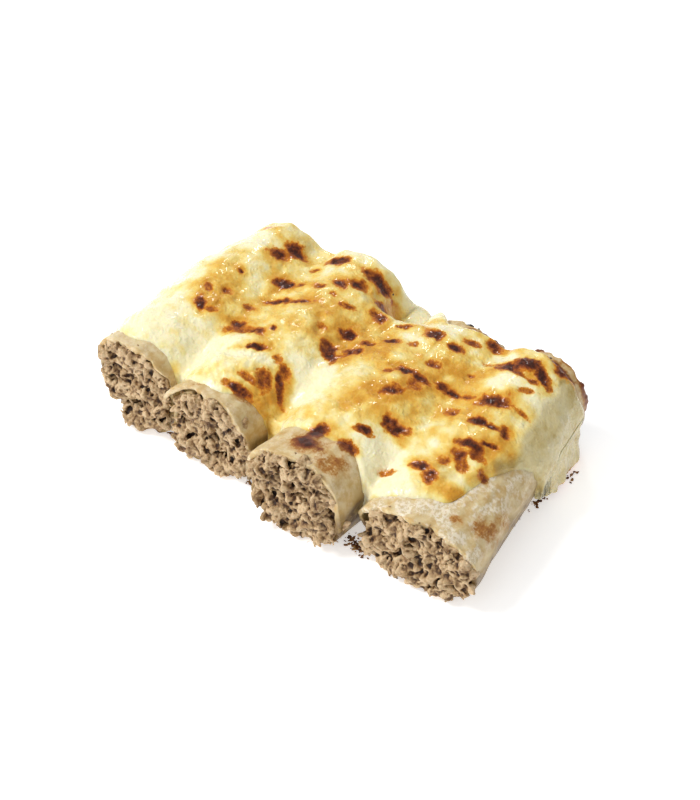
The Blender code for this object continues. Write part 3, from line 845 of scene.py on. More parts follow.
@dataclass
class Gratin:
    """The blanket of white sauce and melted cheese over the rolls.

    Attributes:
        rolls: The rolls that it covers.
        crown: Its thickness over the crown of a roll.
        flank: Its thickness down the outer flanks.
        dip: How far it dips between two rolls, and how much deeper near its front edge.
        dip_length: How far from the front edge it is deeper.
        back_dip: How much deeper the middle valley is at the back, and from which y to which y it gets so.
        melt: How softly the humps run together.
        hang: The height of its underside between two rolls, and of the tongues in front.
        tongue_length: How long a tongue is.
        feet: How low its left and its right flank hang.
        bulge: How far its left flank swells out halfway along.
        hem: Over what distance from the front edge the flanks reach that low.
        bare: For each roll, how far behind the cut end the sauce begins, from its left to its right.
        overhang: For each roll, how far behind its back end the sauce reaches.
        pool: The middle, reach and height of the sauce that ran down and set behind the middle rolls, and
            the height of its foot.
        columns: How many faces it has across.
        rows: How many faces it has from front to back.
        end_standoff: How far behind the back ends the sauce starts to fall.
        end_rounding: Over what distance it falls.
    """

    rolls: tuple[Roll, ...]
    crown: float = 3.0
    flank: float = 1.7
    dip: tuple[float, float] = (2.2, 8.5)
    dip_length: float = 24.0
    back_dip: tuple[float, float, float] = (16.0, 22.0, 31.0)
    melt: float = 3.0
    hang: tuple[float, float] = (17.0, 9.0)
    tongue_length: float = 14.0
    feet: tuple[float, float] = (12.0, 1.2)
    bulge: float = 2.6
    hem: tuple[float, float] = (16.0, 13.0)
    bare: tuple = (
        ((-1.2, 12), (-0.7, 5), (-0.1, 2.5), (0.4, 4.5), (0.8, 4)),
        ((-0.78, 3.5), (-0.2, 2.5), (0.16, 3.0), (0.48, 6), (0.85, 7.5)),
        ((-0.88, 13), (-0.3, 12), (0.34, 13), (0.69, 13.0)),
        ((-0.96, 3.5), (-0.56, 4.5), (-0.07, 8), (0.23, 12), (0.43, 25), (0.67, 36), (1.07, 40)),
    )
    overhang: tuple = (
        ((-1.1, 0.5), (-0.2, 3.5), (0.7, 3.5)),
        ((-1.0, 4), (-0.4, 7.5), (0.5, 10.5), (1.1, 11)),
        ((-1.35, 9.5), (-0.85, 2.8), (-0.42, -4), (0.1, -5), (0.5, -3)),
        ((-0.95, -2.2), (0.0, -3), (0.6, -4), (1.3, -6)),
    )
    pool: tuple = ((-9.5, 37.5), (22.0, 13.0), 17.0, 1.0)
    columns: int = 392
    rows: int = 212
    end_standoff: float = 2.2
    end_rounding: float = 5.0

    def build(self) -> Piece:
        """Models the blanket.

        Returns:
            The finished piece.
        """
        bpy.ops.object.select_all(action="DESELECT")
        bpy.ops.mesh.primitive_grid_add(x_subdivisions=self.columns, y_subdivisions=self.rows, size=1)
        blanket = bpy.context.object
        blanket.name = "gratin_blanket"
        lift = {"value": (0, 0, 1)}
        edit_all(blanket, (bpy.ops.mesh.extrude_region_move, {"TRANSFORM_OT_translate": lift}))
        grid = points_of(blanket) * MM
        upper = grid[:, 2] > 0.5
        across, along = self.even_spacing(grid[:, 0] + 0.5, grid[:, 1] + 0.5)
        top, under = self.drape(across, along)
        place_points(blanket, np.where(upper[:, None], top, under))
        edit_all(blanket, (bpy.ops.mesh.normals_make_consistent, {"inside": False}))
        edge = np.linalg.norm(top - under, axis=1)
        char, halo, lifted = browned(top, SPOTS)
        char = np.maximum(char, self.toasted_foot(top))
        relief = (self.relief(top, char) + lifted) * smooth(edge, 0.0, 2.5) * upper
        place_points(blanket, points_of(blanket) + normals_of(blanket) * relief[:, None])
        keep_values(blanket, "under", ~upper)
        keep_values(blanket, "char", char * upper)
        keep_values(blanket, "golden", self.goldenness(top, halo) * upper)
        # Thin sauce and painted shade: darker beige and olive, most of all down the right flank.
        keep_values(blanket, "thin_and_shaded", self.thinness_and_shade(top))
        edit_all(blanket, (bpy.ops.mesh.remove_doubles, {"threshold": 0.02 * MM}),
                 (bpy.ops.mesh.normals_make_consistent, {"inside": False}))
        hidden = np.empty(len(blanket.data.vertices), np.float32)
        blanket.data.attributes["under"].data.foreach_get("value", hidden)
        thin_out(blanket, hidden > 0.99, 0.12)
        blanket.data.shade_smooth()
        return blanket

    def line(self, ends: tuple, end: End, x: np.ndarray) -> np.ndarray:
        """The y of the front or the back edge.

        Args:
            ends: bare or overhang.
            end: The edge that it gives.
            x: Where across the portion.

        Returns:
            One y for each x.
        """
        side = end.value
        knots = [
            (roll.middle_x[side] + share * roll.half_width[side], roll.end_y[side] + beyond)
            for roll, places in zip(self.rolls, ends)
            for share, beyond in places
        ]
        xs, ys = np.array(knots).T
        slopes = np.gradient(ys, xs)
        index = np.clip(np.searchsorted(xs, x) - 1, 0, len(xs) - 2)
        width = xs[index + 1] - xs[index]
        t = np.clip((x - xs[index]) / width, 0.0, 1.0)
        start = (1 + 2 * t) * (1 - t) ** 2 * ys[index] + t * (1 - t) ** 2 * slopes[index] * width
        return start + t**2 * (3 - 2 * t) * ys[index + 1] + t**2 * (t - 1) * slopes[index + 1] * width

    def place_on_rolls(self, across: np.ndarray, along: np.ndarray) -> tuple[np.ndarray, ...]:
        """Where a place on the blanket lies over the rolls.

        Args:
            across: 0 to 1 down the left flank, then 1 for each roll, then 5 to 6 down the right flank.
            along: The share of the way from the front edge to the back edge.

        Returns:
            The x, the y, the distance to the front edge and the one to the back edge, in mm.
        """
        index = np.clip(across.astype(int) - 1, 0, 3)
        sideways = -np.cos(math.pi * np.clip(across - 1 - index, 0, 1))
        x = np.array([roll.at(roll.middle_x, 0.5) for roll in self.rolls])[index]
        for _ in range(6):
            front, back = self.line(self.bare, End.FRONT, x), self.line(self.overhang, End.BACK, x)
            y = front + (back - front) * along
            middles = np.array([roll.at(roll.middle_x, roll.along(y)) for roll in self.rolls])
            halves = np.array([roll.at(roll.half_width, roll.along(y)) for roll in self.rolls])
            gaps = (middles[1:] - halves[1:] - middles[:-1] - halves[:-1]) / 2
            left = halves + np.concatenate([np.full((1, len(y)), self.flank), gaps])
            right = halves + np.concatenate([gaps, np.full((1, len(y)), self.flank)])
            pick = (index, np.arange(len(y)))
            x = middles[pick] + sideways * np.where(sideways < 0, left[pick], right[pick])
        return x, y, y - front, back - y

    def drape(self, across: np.ndarray, along: np.ndarray) -> tuple[np.ndarray, np.ndarray]:
        """The smooth shape of the blanket, before its wrinkles and blisters.

        Args:
            across: As place_on_rolls takes it.
            along: The share of the way from the front edge to the back edge.

        Returns:
            The points on top and the points on the underside, in mm. They meet at the edges.
        """
        x, y, from_front, from_back = self.place_on_rolls(across, along)
        below = [roll.top(x, y, -0.3, -0.3) * self.rounded(roll.end_y[1] + 4 - y, 4.0) for roll in self.rolls]
        rest = np.maximum(np.max(below, axis=0), self.hanging(x, y, from_front))
        high = np.maximum(self.height(x, y, from_front), rest + 0.4)
        left, right = np.clip(1 - across, 0, 1), np.clip(across - 5, 0, 1)
        fall = np.full_like(high, 99.0)
        for down, low, length, side in zip((left, right), self.feet, self.hem, (-1, 1)):
            reach = smooth(from_front, -1, length)
            foot = high + (low - high) * reach
            fall = np.where(down > 0, (1 - down) * (high - foot) + 3 * (1 - reach), fall)
            folds = 0.8 * unevenness(np.stack([y / 4, y * 0, y * 0], 1), 0.9, 51 + side)
            folds += 0.15 * unevenness(np.stack([y / 1.6, y * 0, y * 0], 1), 0.9, 53 + side)
            high = high + (foot - high) * down
            rest = np.where(down > 0, high, rest)
            x = x + side * down * reach * (1.0 + 1.6 * folds)
        x = x - self.bulge * smooth(-x, 42, 62) * np.exp(-(((y - 9) / 20) ** 2))
        outer = np.clip(np.maximum(left, right) * 8, 0, 1)
        inwards = (self.flank + 0.3) * np.where(across < 3, 1.0, -1.0) * outer
        top = np.stack([x, y, high], 1)
        under = np.stack([x + inwards, y, rest], 1)
        lip = self.rounded(from_front, 2.4) * self.rounded(from_back, 2.6) * self.rounded(fall + 1e-6, 1.6)
        return under + (top - under) * lip[:, None], under

    def rounded(self, inside: np.ndarray, radius: float) -> np.ndarray:
        """The share of its thickness that a rounded edge has at a distance inside it."""
        return np.sqrt(np.clip(1 - (1 - np.clip(inside / radius, 0, 1)) ** 2, 0, 1))

    def height(self, x: np.ndarray, y: np.ndarray, from_front: np.ndarray) -> np.ndarray:
        """The height of the blanket's top."""
        thick = self.crown * (0.3 + 0.7 * smooth(from_front, 0, 10))
        humps = []
        for roll in self.rolls:
            past = np.clip((y - roll.end_y[1] - self.end_standoff) / self.end_rounding, 0, 1)
            humps.append(roll.top(x, y, thick, self.flank) * np.sqrt(1 - past**2))
        heights = [*humps, self.between(x, y, from_front), self.pooled(x, y)]
        highest = np.max(heights, axis=0)
        total = sum(np.exp((height - highest) / self.melt) for height in heights)
        soft = self.melt * np.log(total) * smooth(highest, 2, 14) * smooth(from_front, -4, 8)
        return highest + soft + spread(MOUNDS, np.stack([x, y], 1)) * smooth(highest, 14, 24)

    def between(self, x: np.ndarray, y: np.ndarray, from_front: np.ndarray) -> np.ndarray:
        """The height to which the sauce fills the valleys between the rolls."""
        middles = np.array([roll.at(roll.middle_x, roll.along(y)) for roll in self.rolls])
        crowns = np.array([roll.at(roll.height, roll.along(y)) for roll in self.rolls])
        ends = np.array([roll.end_y[1] for roll in self.rolls])
        index = np.clip((x > middles[1]).astype(int) + (x > middles[2]), 0, 2)
        pick = np.arange(len(x))
        low, high = middles[index, pick], middles[index + 1, pick]
        share = np.clip((x - low) / (high - low), 0, 1)
        crown = crowns[index, pick] * (1 - share) + crowns[index + 1, pick] * share
        end = ends[index] * (1 - share) + ends[index + 1] * share
        past = np.clip((y - end - self.end_standoff) / self.end_rounding, 0, 1)
        dip = self.dip[0] + self.dip[1] * (1 - smooth(from_front, 0, self.dip_length))
        valley = (index == 1) * smooth(np.minimum(share, 1 - share), 0.0, 0.35)
        dip = dip + self.back_dip[0] * valley * smooth(y, *self.back_dip[1:])
        beyond = np.maximum(0.0, np.maximum(middles[0] - x, x - middles[3]))
        return np.maximum(0.0, (crown + self.crown - dip) * np.sqrt(1 - past**2) - 0.16 * beyond**2)

    def pooled(self, x: np.ndarray, y: np.ndarray) -> np.ndarray:
        """The height of the sauce that ran down behind the middle rolls and set there."""
        (middle_x, middle_y), (reach_x, reach_y), high, _ = self.pool
        aside, behind = np.abs(x - middle_x) / reach_x, np.clip((y - middle_y) / reach_y, 0, None)
        return high * np.clip(1 - aside**2.6 - behind**2.6, 0, 1) ** 0.4

    def hanging(self, x: np.ndarray, y: np.ndarray, from_front: np.ndarray) -> np.ndarray:
        """The height of the underside where no roll holds it up."""
        low = self.hang[0] + (self.hang[1] - self.hang[0]) * (1 - smooth(from_front, 4, self.tongue_length))
        set_back = smooth(y, self.pool[0][1] - 3, self.pool[0][1] + 1) * smooth(self.pooled(x, y), 2, 8)
        return low + (self.pool[3] - low) * set_back

    def even_spacing(self, across: np.ndarray, along: np.ndarray) -> tuple[np.ndarray, np.ndarray]:
        """Spreads the grid's columns and rows evenly over the draped shape.

        Args:
            across: The share of the way from the left to the right of the grid.
            along: The share of the way from its front to its back.

        Returns:
            The same places as place_on_rolls takes them.
        """
        fine, coarse = np.linspace(0, 1, 900), np.linspace(0.02, 0.98, 40)
        found = []
        for first, spread_over in ((fine, 6.0), (fine, 1.0)):
            grid = np.meshgrid(first * spread_over, coarse if spread_over > 1 else coarse * 6)
            places = grid if spread_over > 1 else grid[::-1]
            top, _ = self.drape(places[0].ravel(), places[1].ravel())
            steps = np.linalg.norm(np.diff(top.reshape(len(coarse), len(fine), 3), axis=1), axis=2).mean(0)
            found.append(np.concatenate([[0], np.cumsum(steps)]) / steps.sum())
        return np.interp(across, found[0], fine * 6.0), np.interp(along, found[1], fine)

    def relief(self, points: np.ndarray, char: np.ndarray) -> np.ndarray:
        """The height of the wrinkles, lumps and bubbles of the melted cheese at each point, in mm."""
        crinkled = spread(CRINKLED, points)
        calm = 0.25 + 0.75 * smooth(spread(GOLDEN, points), -0.25, 0.25)
        lumps = 0.8 * unevenness(points, 12.0, 6) + 0.5 * unevenness(points, 5.0, 7)
        lumps += calm * (0.28 * unevenness(points, 2.4, 8) + 0.1 * unevenness(points, 1.2, 9))
        wander = 6.0 * unevenness(points, 20.0, 17)
        aside = points[:, 0] * 0.8 + points[:, 1] * 0.5 + wander
        strands = np.stack([aside, points[:, 1] * 0.2, points[:, 2] * 0.6], 1)
        creases = 1 - 2.4 * np.abs(unevenness(strands, 2.4, 10))
        fine = 1 - 2.2 * np.abs(unevenness(points, (1.5, 2.4, 1.5), 18))
        crust = 0.5 * unevenness(points, 1.2, 19) + 0.25 * unevenness(points, 0.7, 20)
        wrinkles = 0.26 * creases * (0.35 + crinkled) + 0.16 * fine * (0.5 * calm + crinkled)
        return lumps + wrinkles + smooth(char, 0.35, 0.8) * crust + calm * self.bubbles(points)

    def toasted_foot(self, points: np.ndarray) -> np.ndarray:
        """How browned the foot of the right flank is, where it baked on to the dish."""
        low = smooth(points[:, 2] + 1.2 * unevenness(points, 3.0, 21), 3.4, 1.2)
        return low * smooth(points[:, 0], 54, 60) * (0.6 + 0.7 * unevenness(points, (8.0, 5.0, 8.0), 22))

    def bubbles(self, points: np.ndarray) -> np.ndarray:
        """The height of the small domes that steam left in the cheese, in mm."""
        chance = random.Random(7)
        raised = np.zeros(len(points))
        flat = points[:, :2]
        for _ in range(150):
            middle = np.array((chance.uniform(-62, 62), chance.uniform(-32, 34)))
            radius = chance.uniform(0.8, 2.1)
            near = np.flatnonzero(np.abs(flat - middle).max(1) < 2 * radius)
            far = np.hypot(*(flat[near] - middle).T) / radius
            raised[near] += chance.uniform(0.25, 0.6) * (1 - smooth(far, 0.2, 1.15))
        return raised

    def goldenness(self, points: np.ndarray, halo: np.ndarray) -> np.ndarray:
        """How golden the melted cheese is at each point, from 0 to 1."""
        mottled = 0.29 + spread(GOLDEN, points) + 0.42 * unevenness(points, 6.0, 12)
        mottled += 0.28 * unevenness(points, 2.6, 13)
        return np.clip(mottled + 0.5 * halo, 0, 1)

    def thinness_and_shade(self, points: np.ndarray) -> np.ndarray:
        """How thin and see-through the sauce is at each point, with painted shade down the right flank, from
        0 to 1.
        """
        last = self.rolls[-1]
        aside = (points[:, 0] - last.at(last.middle_x, last.along(points[:, 1]))) / last.half_width[1]
        flank = smooth(aside + 0.25 * unevenness(points, 7.0, 14), 0.5, 1.0)
        return np.clip(flank * 0.9 + spread(THIN_AND_SHADED, points) + 0.2 * unevenness(points, 4.0, 15), 0, 1)


MOUNDS = (
    Patch(-58, 14, 44, 24, 86, 1.8), Patch(-31, 36, 16, 14, 0, 1.2), Patch(-37, 38, 20, 8, 80, -2.0),
    Patch(-54, 34, 18, 14, 0, 1.5), Patch(46, -37, 20, 5, 0, -0.5), Patch(-7, 37, 9, 14, 0, -3.2),
)
CRINKLED = (
    Patch(-24, -24, 26, 20, 20, 0.9), Patch(-62, -34, 10, 12, 0, 0.5), Patch(-10, -30, 14, 16, 0, 0.6),
    Patch(46, -36, 30, 10, 10, 0.8), Patch(10, -30, 20, 12, 0, 0.4),
)


# ---------------------------------------------------------------- burnt crumbs at the foot


CRUMB_PLACES = (
    Patch(63.4, -7, 24, 2.2, 80, 26), Patch(65.5, 5, 8, 2.4, 86, 30), Patch(68.5, 20, 8, 2.0, 84, 12),
    Patch(32, -41.0, 9, 3.6, -10, 120), Patch(-43, -37.5, 5, 2.4, 0, 12), Patch(19, -43.5, 9, 2.6, 0, 18),
    Patch(-9, -39.5, 6, 3.0, 10, 18), Patch(60, 36, 12, 3.0, -60, 12), Patch(60, -34, 8, 2.0, 60, 8),
)


@dataclass
class BurntCrumbs:
    """The crumbs of cheese and pasta that baked hard on the dish, along the foot of the rolls.

    Attributes:
        places: Where they lie, with how many at each place.
        size: The smallest and the largest crumb's width.
        pile: How high they lie.
    """

    places: tuple[Patch, ...] = CRUMB_PLACES
    size: tuple[float, float] = (0.3, 1.1)
    pile: float = 1.4

    def build(self) -> Piece:
        """Models the crumbs as one piece."""
        chance = random.Random(5)
        patterns = [self.pattern(number) for number in range(5)]
        crumbs = []
        for place in self.places:
            direction = math.radians(place.turn)
            for _ in range(int(place.level)):
                along, aside = chance.gauss(0, 0.25) * place.length, chance.gauss(0, 0.3) * place.width
                x = place.x + along * math.cos(direction) - aside * math.sin(direction)
                y = place.y + along * math.sin(direction) + aside * math.cos(direction)
                radius = chance.uniform(*self.size) * chance.uniform(0.5, 1) / 2
                z = max(0.75 * radius, chance.uniform(0, self.pile) * chance.random())
                crumb = bpy.data.objects.new("crumb", chance.choice(patterns).copy())
                turned = Matrix.Rotation(chance.uniform(0, math.tau), 4, "Z")
                stretch = Matrix.Diagonal((radius * chance.uniform(1, 1.9), radius, radius * 0.7, 1))
                shift = Matrix.Translation(Vector((x, y, z)) * MM)
                crumb.data.transform(shift @ turned @ stretch @ Matrix.Scale(MM, 4))
                bpy.context.scene.collection.objects.link(crumb)
                crumbs.append(crumb)
        bpy.ops.object.select_all(action="DESELECT")
        for crumb in crumbs:
            crumb.select_set(True)
        bpy.context.view_layer.objects.active = crumbs[0]
        bpy.ops.object.join()
        crumbs[0].name = "burnt_crumbs"
        points = points_of(crumbs[0])
        points[:, 2] = np.maximum(points[:, 2], 0.05)
        place_points(crumbs[0], points)
        crumbs[0].data.shade_smooth()
        return crumbs[0]

    def pattern(self, number: int) -> bpy.types.Mesh:
        """One craggy crumb, 2 across, as a mesh to copy."""
        bpy.ops.object.select_all(action="DESELECT")
        bpy.ops.mesh.primitive_ico_sphere_add(subdivisions=2, radius=1)
        crumb = bpy.context.object
        points = np.array([vertex.co[:] for vertex in crumb.data.vertices])
        points = points * (1 + 0.7 * unevenness(points, 0.8, 60 + number))[:, None]
        crumb.data.vertices.foreach_set("co", points.astype(np.float32).ravel())
        mesh = crumb.data
        bpy.data.objects.remove(crumb)
        return mesh


# ---------------------------------------------------------------- finishes


class Finish(Protocol):
    """Anything that can make a material."""

    def material(self) -> bpy.types.Material:
        """Builds the material."""


def new_material(name: str) -> tuple[bpy.types.Material, Tree, bpy.types.Node]:
    """Starts a material.

    Args:
        name: What the material is called.

    Returns:
        The material, its node tree and its Principled BSDF.
    """
    made = bpy.data.materials.new(name)
    made.use_nodes = True
    return made, made.node_tree, made.node_tree.nodes["Principled BSDF"]


def values(tree: Tree, *names: str) -> list[Socket]:
    """The outputs that read these named attributes of the mesh."""
    return [add_node(tree, "Attribute", {"attribute_name": name}).outputs["Fac"] for name in names]


def grain(tree: Tree, size: float, detail: float = 4.0, kind: str = "FBM") -> Socket:
    """Noise with lumps of this size in mm."""
    place = add_node(tree, "TexCoord").outputs["Object"]
    settings = {"noise_type": kind}
    inputs = {"Vector": place, "Scale": 1 / (size * MM), "Detail": detail, "Roughness": 0.6}
    return add_node(tree, "TexNoise", settings, inputs).outputs["Fac"]


def added(tree: Tree, base: Socket, noise_: Socket, gain: float) -> Socket:
    """A value with some noise added, which is as often below it as above it."""
    scaled = add_node(tree, "Math", {"operation": "MULTIPLY_ADD"}, {0: noise_, 1: gain, 2: -gain / 2})
    return add_node(tree, "Math", {"operation": "ADD"}, {0: base, 1: scaled.outputs[0]}).outputs[0]


def ramp(tree: Tree, value: Socket, stops: tuple[tuple[float, str], ...]) -> Socket:
    """Colours a value.

    Args:
        tree: The material's node tree.
        value: The value, from 0 to 1.
        stops: Pairs of a position and its colour.

    Returns:
        The colour.
    """
    node = add_node(tree, "ValToRGB", {}, {"Fac": value})
    elements = node.color_ramp.elements
    for _ in range(len(stops) - 2):
        elements.new(0.5)
    for element, (position, colour) in zip(elements, stops):
        element.position = position
        element.color = linear(colour)
    return node.outputs["Color"]


def between(tree: Tree, share: Socket, first: Socket, second: Socket) -> Socket:
    """Mixes two values."""
    return add_node(tree, "Mix", {}, {0: share, 2: first, 3: second}).outputs[0]


def between_colours(tree: Tree, share: Socket, first: object, second: object) -> Socket:
    """Mixes two colours."""
    return add_node(tree, "Mix", {"data_type": "RGBA"}, {0: share, 6: first, 7: second}).outputs[2]


def stepped(tree: Tree, value: Socket, low: float, high: float,
            to_low: float = 0.0, to_high: float = 1.0) -> Socket:
    """A smooth step of a value between two limits."""
    inputs = {"Value": value, "From Min": low, "From Max": high, "To Min": to_low, "To Max": to_high}
    return add_node(tree, "MapRange", {"interpolation_type": "SMOOTHSTEP"}, inputs).outputs[0]


def ruffled(tree: Tree, heights: tuple[tuple[Socket, float], ...]) -> Socket:
    """Stacks bumps.

    Args:
        tree: The material's node tree.
        heights: Pairs of a height pattern and its depth in mm, the coarsest first.

    Returns:
        The normal.
    """
    normal = None
    for height, depth in heights:
        inputs = {"Height": height, "Distance": depth * MM, "Strength": 1.0}
        if normal is not None:
            inputs["Normal"] = normal
        normal = add_node(tree, "Bump", {}, inputs).outputs[0]
    return normal


@dataclass(frozen=True)
class Scorch:
    """How grilling colours cheese and pasta, from golden through orange-brown to near black."""

    golden: str = "#E4AC40"
    orange: str = "#CC7E1A"
    brown: str = "#9C520E"
    dark: str = "#6A2C08"
    black: str = "#421704"

    def over(
        self, tree: Tree, char: Socket, base: Socket
    ) -> tuple[Socket, Socket]:
        """Browns a colour.

        Args:
            tree: The material's node tree.
            char: How browned each place is.
            base: The colour before it was grilled.

        Returns:
            The browned colour, and how browned it is with its frayed edges.
        """
        # Patches of 2.6 mm and specks of 0.8 mm fray the edges of the browned spots.
        near = stepped(tree, char, 0.02, 0.3)
        ragged = added(tree, added(tree, char, grain(tree, 2.0), 0.7), grain(tree, 0.7), 0.7)
        frayed = between(tree, near, char, ragged)
        stops = ((0.12, self.golden), (0.34, self.orange), (0.58, self.brown), (0.82, self.dark))
        browned_ = ramp(tree, frayed, (*stops, (0.98, self.black)))
        return between_colours(tree, stepped(tree, frayed, 0.05, 0.32), base, browned_), frayed


@dataclass(frozen=True)
class BakedSauce:
    """White sauce and cheese, melted and grilled: glossy cream that turns golden, brown and near black."""

    cream: str = "#F7EEC6"
    pale: str = "#F3E2A0"
    yellow: str = "#ECCE72"
    golden: str = "#E2B34C"
    amber: str = "#D2962E"
    # The thin and olive colours are partly see-through sauce and partly painted shade on the right flank.
    thin_and_shaded: str = "#CCBD8E"
    olive: str = "#A99154"
    scorch: Scorch = Scorch()

    def material(self) -> bpy.types.Material:
        """Builds the material."""
        made, tree, shader = new_material("baked white sauce and cheese")
        char, golden, thin_and_shaded = values(tree, "char", "golden", "thin_and_shaded")
        # The golden cheese is mottled in patches of 3 mm and 1 mm.
        mottled = added(tree, added(tree, golden, grain(tree, 3.0), 0.5), grain(tree, 1.0), 0.3)
        tones = (self.cream, self.pale, self.yellow, self.golden, self.amber)
        stops = tuple(zip((0.0, 0.25, 0.5, 0.75, 1.0), tones))
        # Thin sauce and painted shade turn the colour darker beige and olive.
        veiled_and_shaded = between_colours(tree, stepped(tree, added(tree, mottled, thin_and_shaded, 0.3), 0.35, 0.85),
                                 linear(self.thin_and_shaded), linear(self.olive))
        see_through_and_shade = stepped(tree, added(tree, thin_and_shaded, grain(tree, 4.0), 0.4), 0.3, 1.0, 0.0, 0.85)
        base = between_colours(tree, see_through_and_shade, ramp(tree, mottled, stops), veiled_and_shaded)
        coloured, frayed = self.scorch.over(tree, char, base)
        tree.links.new(coloured, shader.inputs["Base Color"])
        # Wrinkles of 1.4 mm and a finer grain of 0.5 mm catch the light.
        wrinkles = grain(tree, 1.4, 3.0, "RIDGED_MULTIFRACTAL")
        tree.links.new(ruffled(tree, ((wrinkles, 0.34), (grain(tree, 0.6), 0.14))), shader.inputs["Normal"])
        rough = added(tree, stepped(tree, frayed, 0.3, 0.8, 0.27, 0.38), grain(tree, 1.8), 0.3)
        tree.links.new(rough, shader.inputs["Roughness"])
        shader.inputs["Specular IOR Level"].default_value = 0.15
        shader.inputs["Subsurface Weight"].default_value = 0.4
        shader.inputs["Subsurface Radius"].default_value = (1.0, 0.75, 0.4)
        shader.inputs["Subsurface Scale"].default_value = 2.0 * MM
        shader.inputs["Coat Weight"].default_value = 0.36
        shader.inputs["Coat Roughness"].default_value = 0.1
        return made


@dataclass(frozen=True)
class BoiledPasta:
    """Boiled egg pasta, dried and toasted where it is bare: cream, slightly see-through, mottled, with
    painted shade in olive low down between the rolls.
    """

    cream: str = "#D8C496"
    tan: str = "#C3A36A"
    # The two olive colours are painted shade low down between the rolls.
    olive: str = "#9E824A"
    deep_olive: str = "#6C5026"
    dry: str = "#E8DCC4"
    dust: str = "#CFBB92"
    scorch: Scorch = Scorch(golden="#C0924E", orange="#AA7434", brown="#7E431A")

    def material(self) -> bpy.types.Material:
        """Builds the material."""
        made, tree, shader = new_material("boiled and baked pasta")
        char, toast, dry, low_shade = values(tree, "char", "toast", "dry", "low_shade")
        # Mottling of 3 mm, dry patches of 4.5 mm and flecks of 1 mm.
        mottle, streaks, flecks = grain(tree, 3.0, 5.0), grain(tree, 4.5, 6.0), grain(tree, 1.0, 5.0)
        light = between_colours(
            tree, stepped(tree, mottle, 0.35, 0.65), linear(self.tan), linear(self.cream)
        )
        # Painted shade: olive and darker where the sheet lies low between the rolls.
        soft = between_colours(
            tree, stepped(tree, mottle, 0.4, 0.65), linear(self.deep_olive), linear(self.olive)
        )
        base = between_colours(tree, stepped(tree, added(tree, low_shade, mottle, 0.5), 0.2, 0.9), light, soft)
        powder = between_colours(tree, stepped(tree, flecks, 0.42, 0.56), linear(self.dust), linear(self.dry))
        patches = stepped(tree, streaks, 0.42, 0.56)
        dusty = add_node(tree, "Math", {"operation": "MULTIPLY"}, {0: dry, 1: patches})
        dried = between_colours(tree, dusty.outputs[0], base, powder)
        toasted = add_node(tree, "Math", {"operation": "MULTIPLY"}, {0: toast, 1: 0.3})
        browned_ = add_node(tree, "Math", {"operation": "MAXIMUM"}, {0: char, 1: toasted.outputs[0]})
        coloured, _ = self.scorch.over(tree, browned_.outputs[0], dried)
        tree.links.new(coloured, shader.inputs["Base Color"])
        tree.links.new(ruffled(tree, ((streaks, 0.3), (flecks, 0.1))), shader.inputs["Normal"])
        tree.links.new(stepped(tree, dry, 0.2, 0.9, 0.34, 0.65), shader.inputs["Roughness"])
        shader.inputs["Specular IOR Level"].default_value = 0.4
        shader.inputs["Subsurface Weight"].default_value = 0.25
        shader.inputs["Subsurface Radius"].default_value = (1.0, 0.7, 0.35)
        shader.inputs["Subsurface Scale"].default_value = 1.2 * MM
        return made


@dataclass(frozen=True)
class CookedMince:
    """Cooked minced meat: coarse, moist grey-brown shreds with paler fat, painted light on its ridges and
    painted shade in its pits.
    """

    fat: str = "#D2B68E"
    pale: str = "#A98A60"
    meat: str = "#836441"
    dull: str = "#5E3F20"
    # The deep and pit colours are painted shade in the hollows.
    deep: str = "#482A12"
    pit: str = "#2A1608"

    def material(self) -> bpy.types.Material:
        """Builds the material."""
        made, tree, shader = new_material("cooked mince")
        pit, pale = values(tree, "pit", "pale")
        # Shreds differ in colour over 4.5 mm, with a grain of 0.7 mm.
        # The pale value adds painted shade in fine hollows and painted light on ridges to the random tone.
        centred = add_node(tree, "Math", {"operation": "MULTIPLY_ADD"}, {0: pale, 1: 0.42, 2: 0.48})
        patchy = added(tree, centred.outputs[0], grain(tree, 4.5), 0.7)
        tone = added(tree, patchy, grain(tree, 0.7), 0.8)
        stops = ((0.1, self.dull), (0.4, self.meat), (0.65, self.pale), (0.95, self.fat))
        # Painted shade: the hollows turn dark brown to near black.
        hollow = ramp(tree, pit, ((0.5, self.deep), (0.95, self.pit)))
        mixed = between_colours(tree, stepped(tree, pit, 0.34, 0.86), ramp(tree, tone, stops), hollow)
        tree.links.new(mixed, shader.inputs["Base Color"])
        fibres = grain(tree, 0.9, 3.0, "RIDGED_MULTIFRACTAL")
        tree.links.new(ruffled(tree, ((fibres, 0.3), (grain(tree, 0.4), 0.25))), shader.inputs["Normal"])
        shader.inputs["Roughness"].default_value = 0.45
        shader.inputs["Specular IOR Level"].default_value = 0.4
        shader.inputs["Subsurface Weight"].default_value = 0.15
        shader.inputs["Subsurface Radius"].default_value = (1.0, 0.5, 0.3)
        shader.inputs["Subsurface Scale"].default_value = 0.7 * MM
        return made


@dataclass(frozen=True)
class BurntCrust:
    """Cheese and pasta baked hard and dark on the dish."""

    black: str = "#4A2612"
    brown: str = "#8C5A28"
    tan: str = "#C09A5E"

    def material(self) -> bpy.types.Material:
        """Builds the material."""
        made, tree, shader = new_material("burnt crust")
        # The crumbs differ every 2 mm or so.
        stops = ((0.38, self.black), (0.52, self.brown), (0.68, self.tan))
        tree.links.new(ramp(tree, grain(tree, 2.0), stops), shader.inputs["Base Color"])
        tree.links.new(ruffled(tree, ((grain(tree, 0.5), 0.3),)), shader.inputs["Normal"])
        shader.inputs["Roughness"].default_value = 0.45
        shader.inputs["Specular IOR Level"].default_value = 0.35
        return made


# ---------------------------------------------------------------- the studio


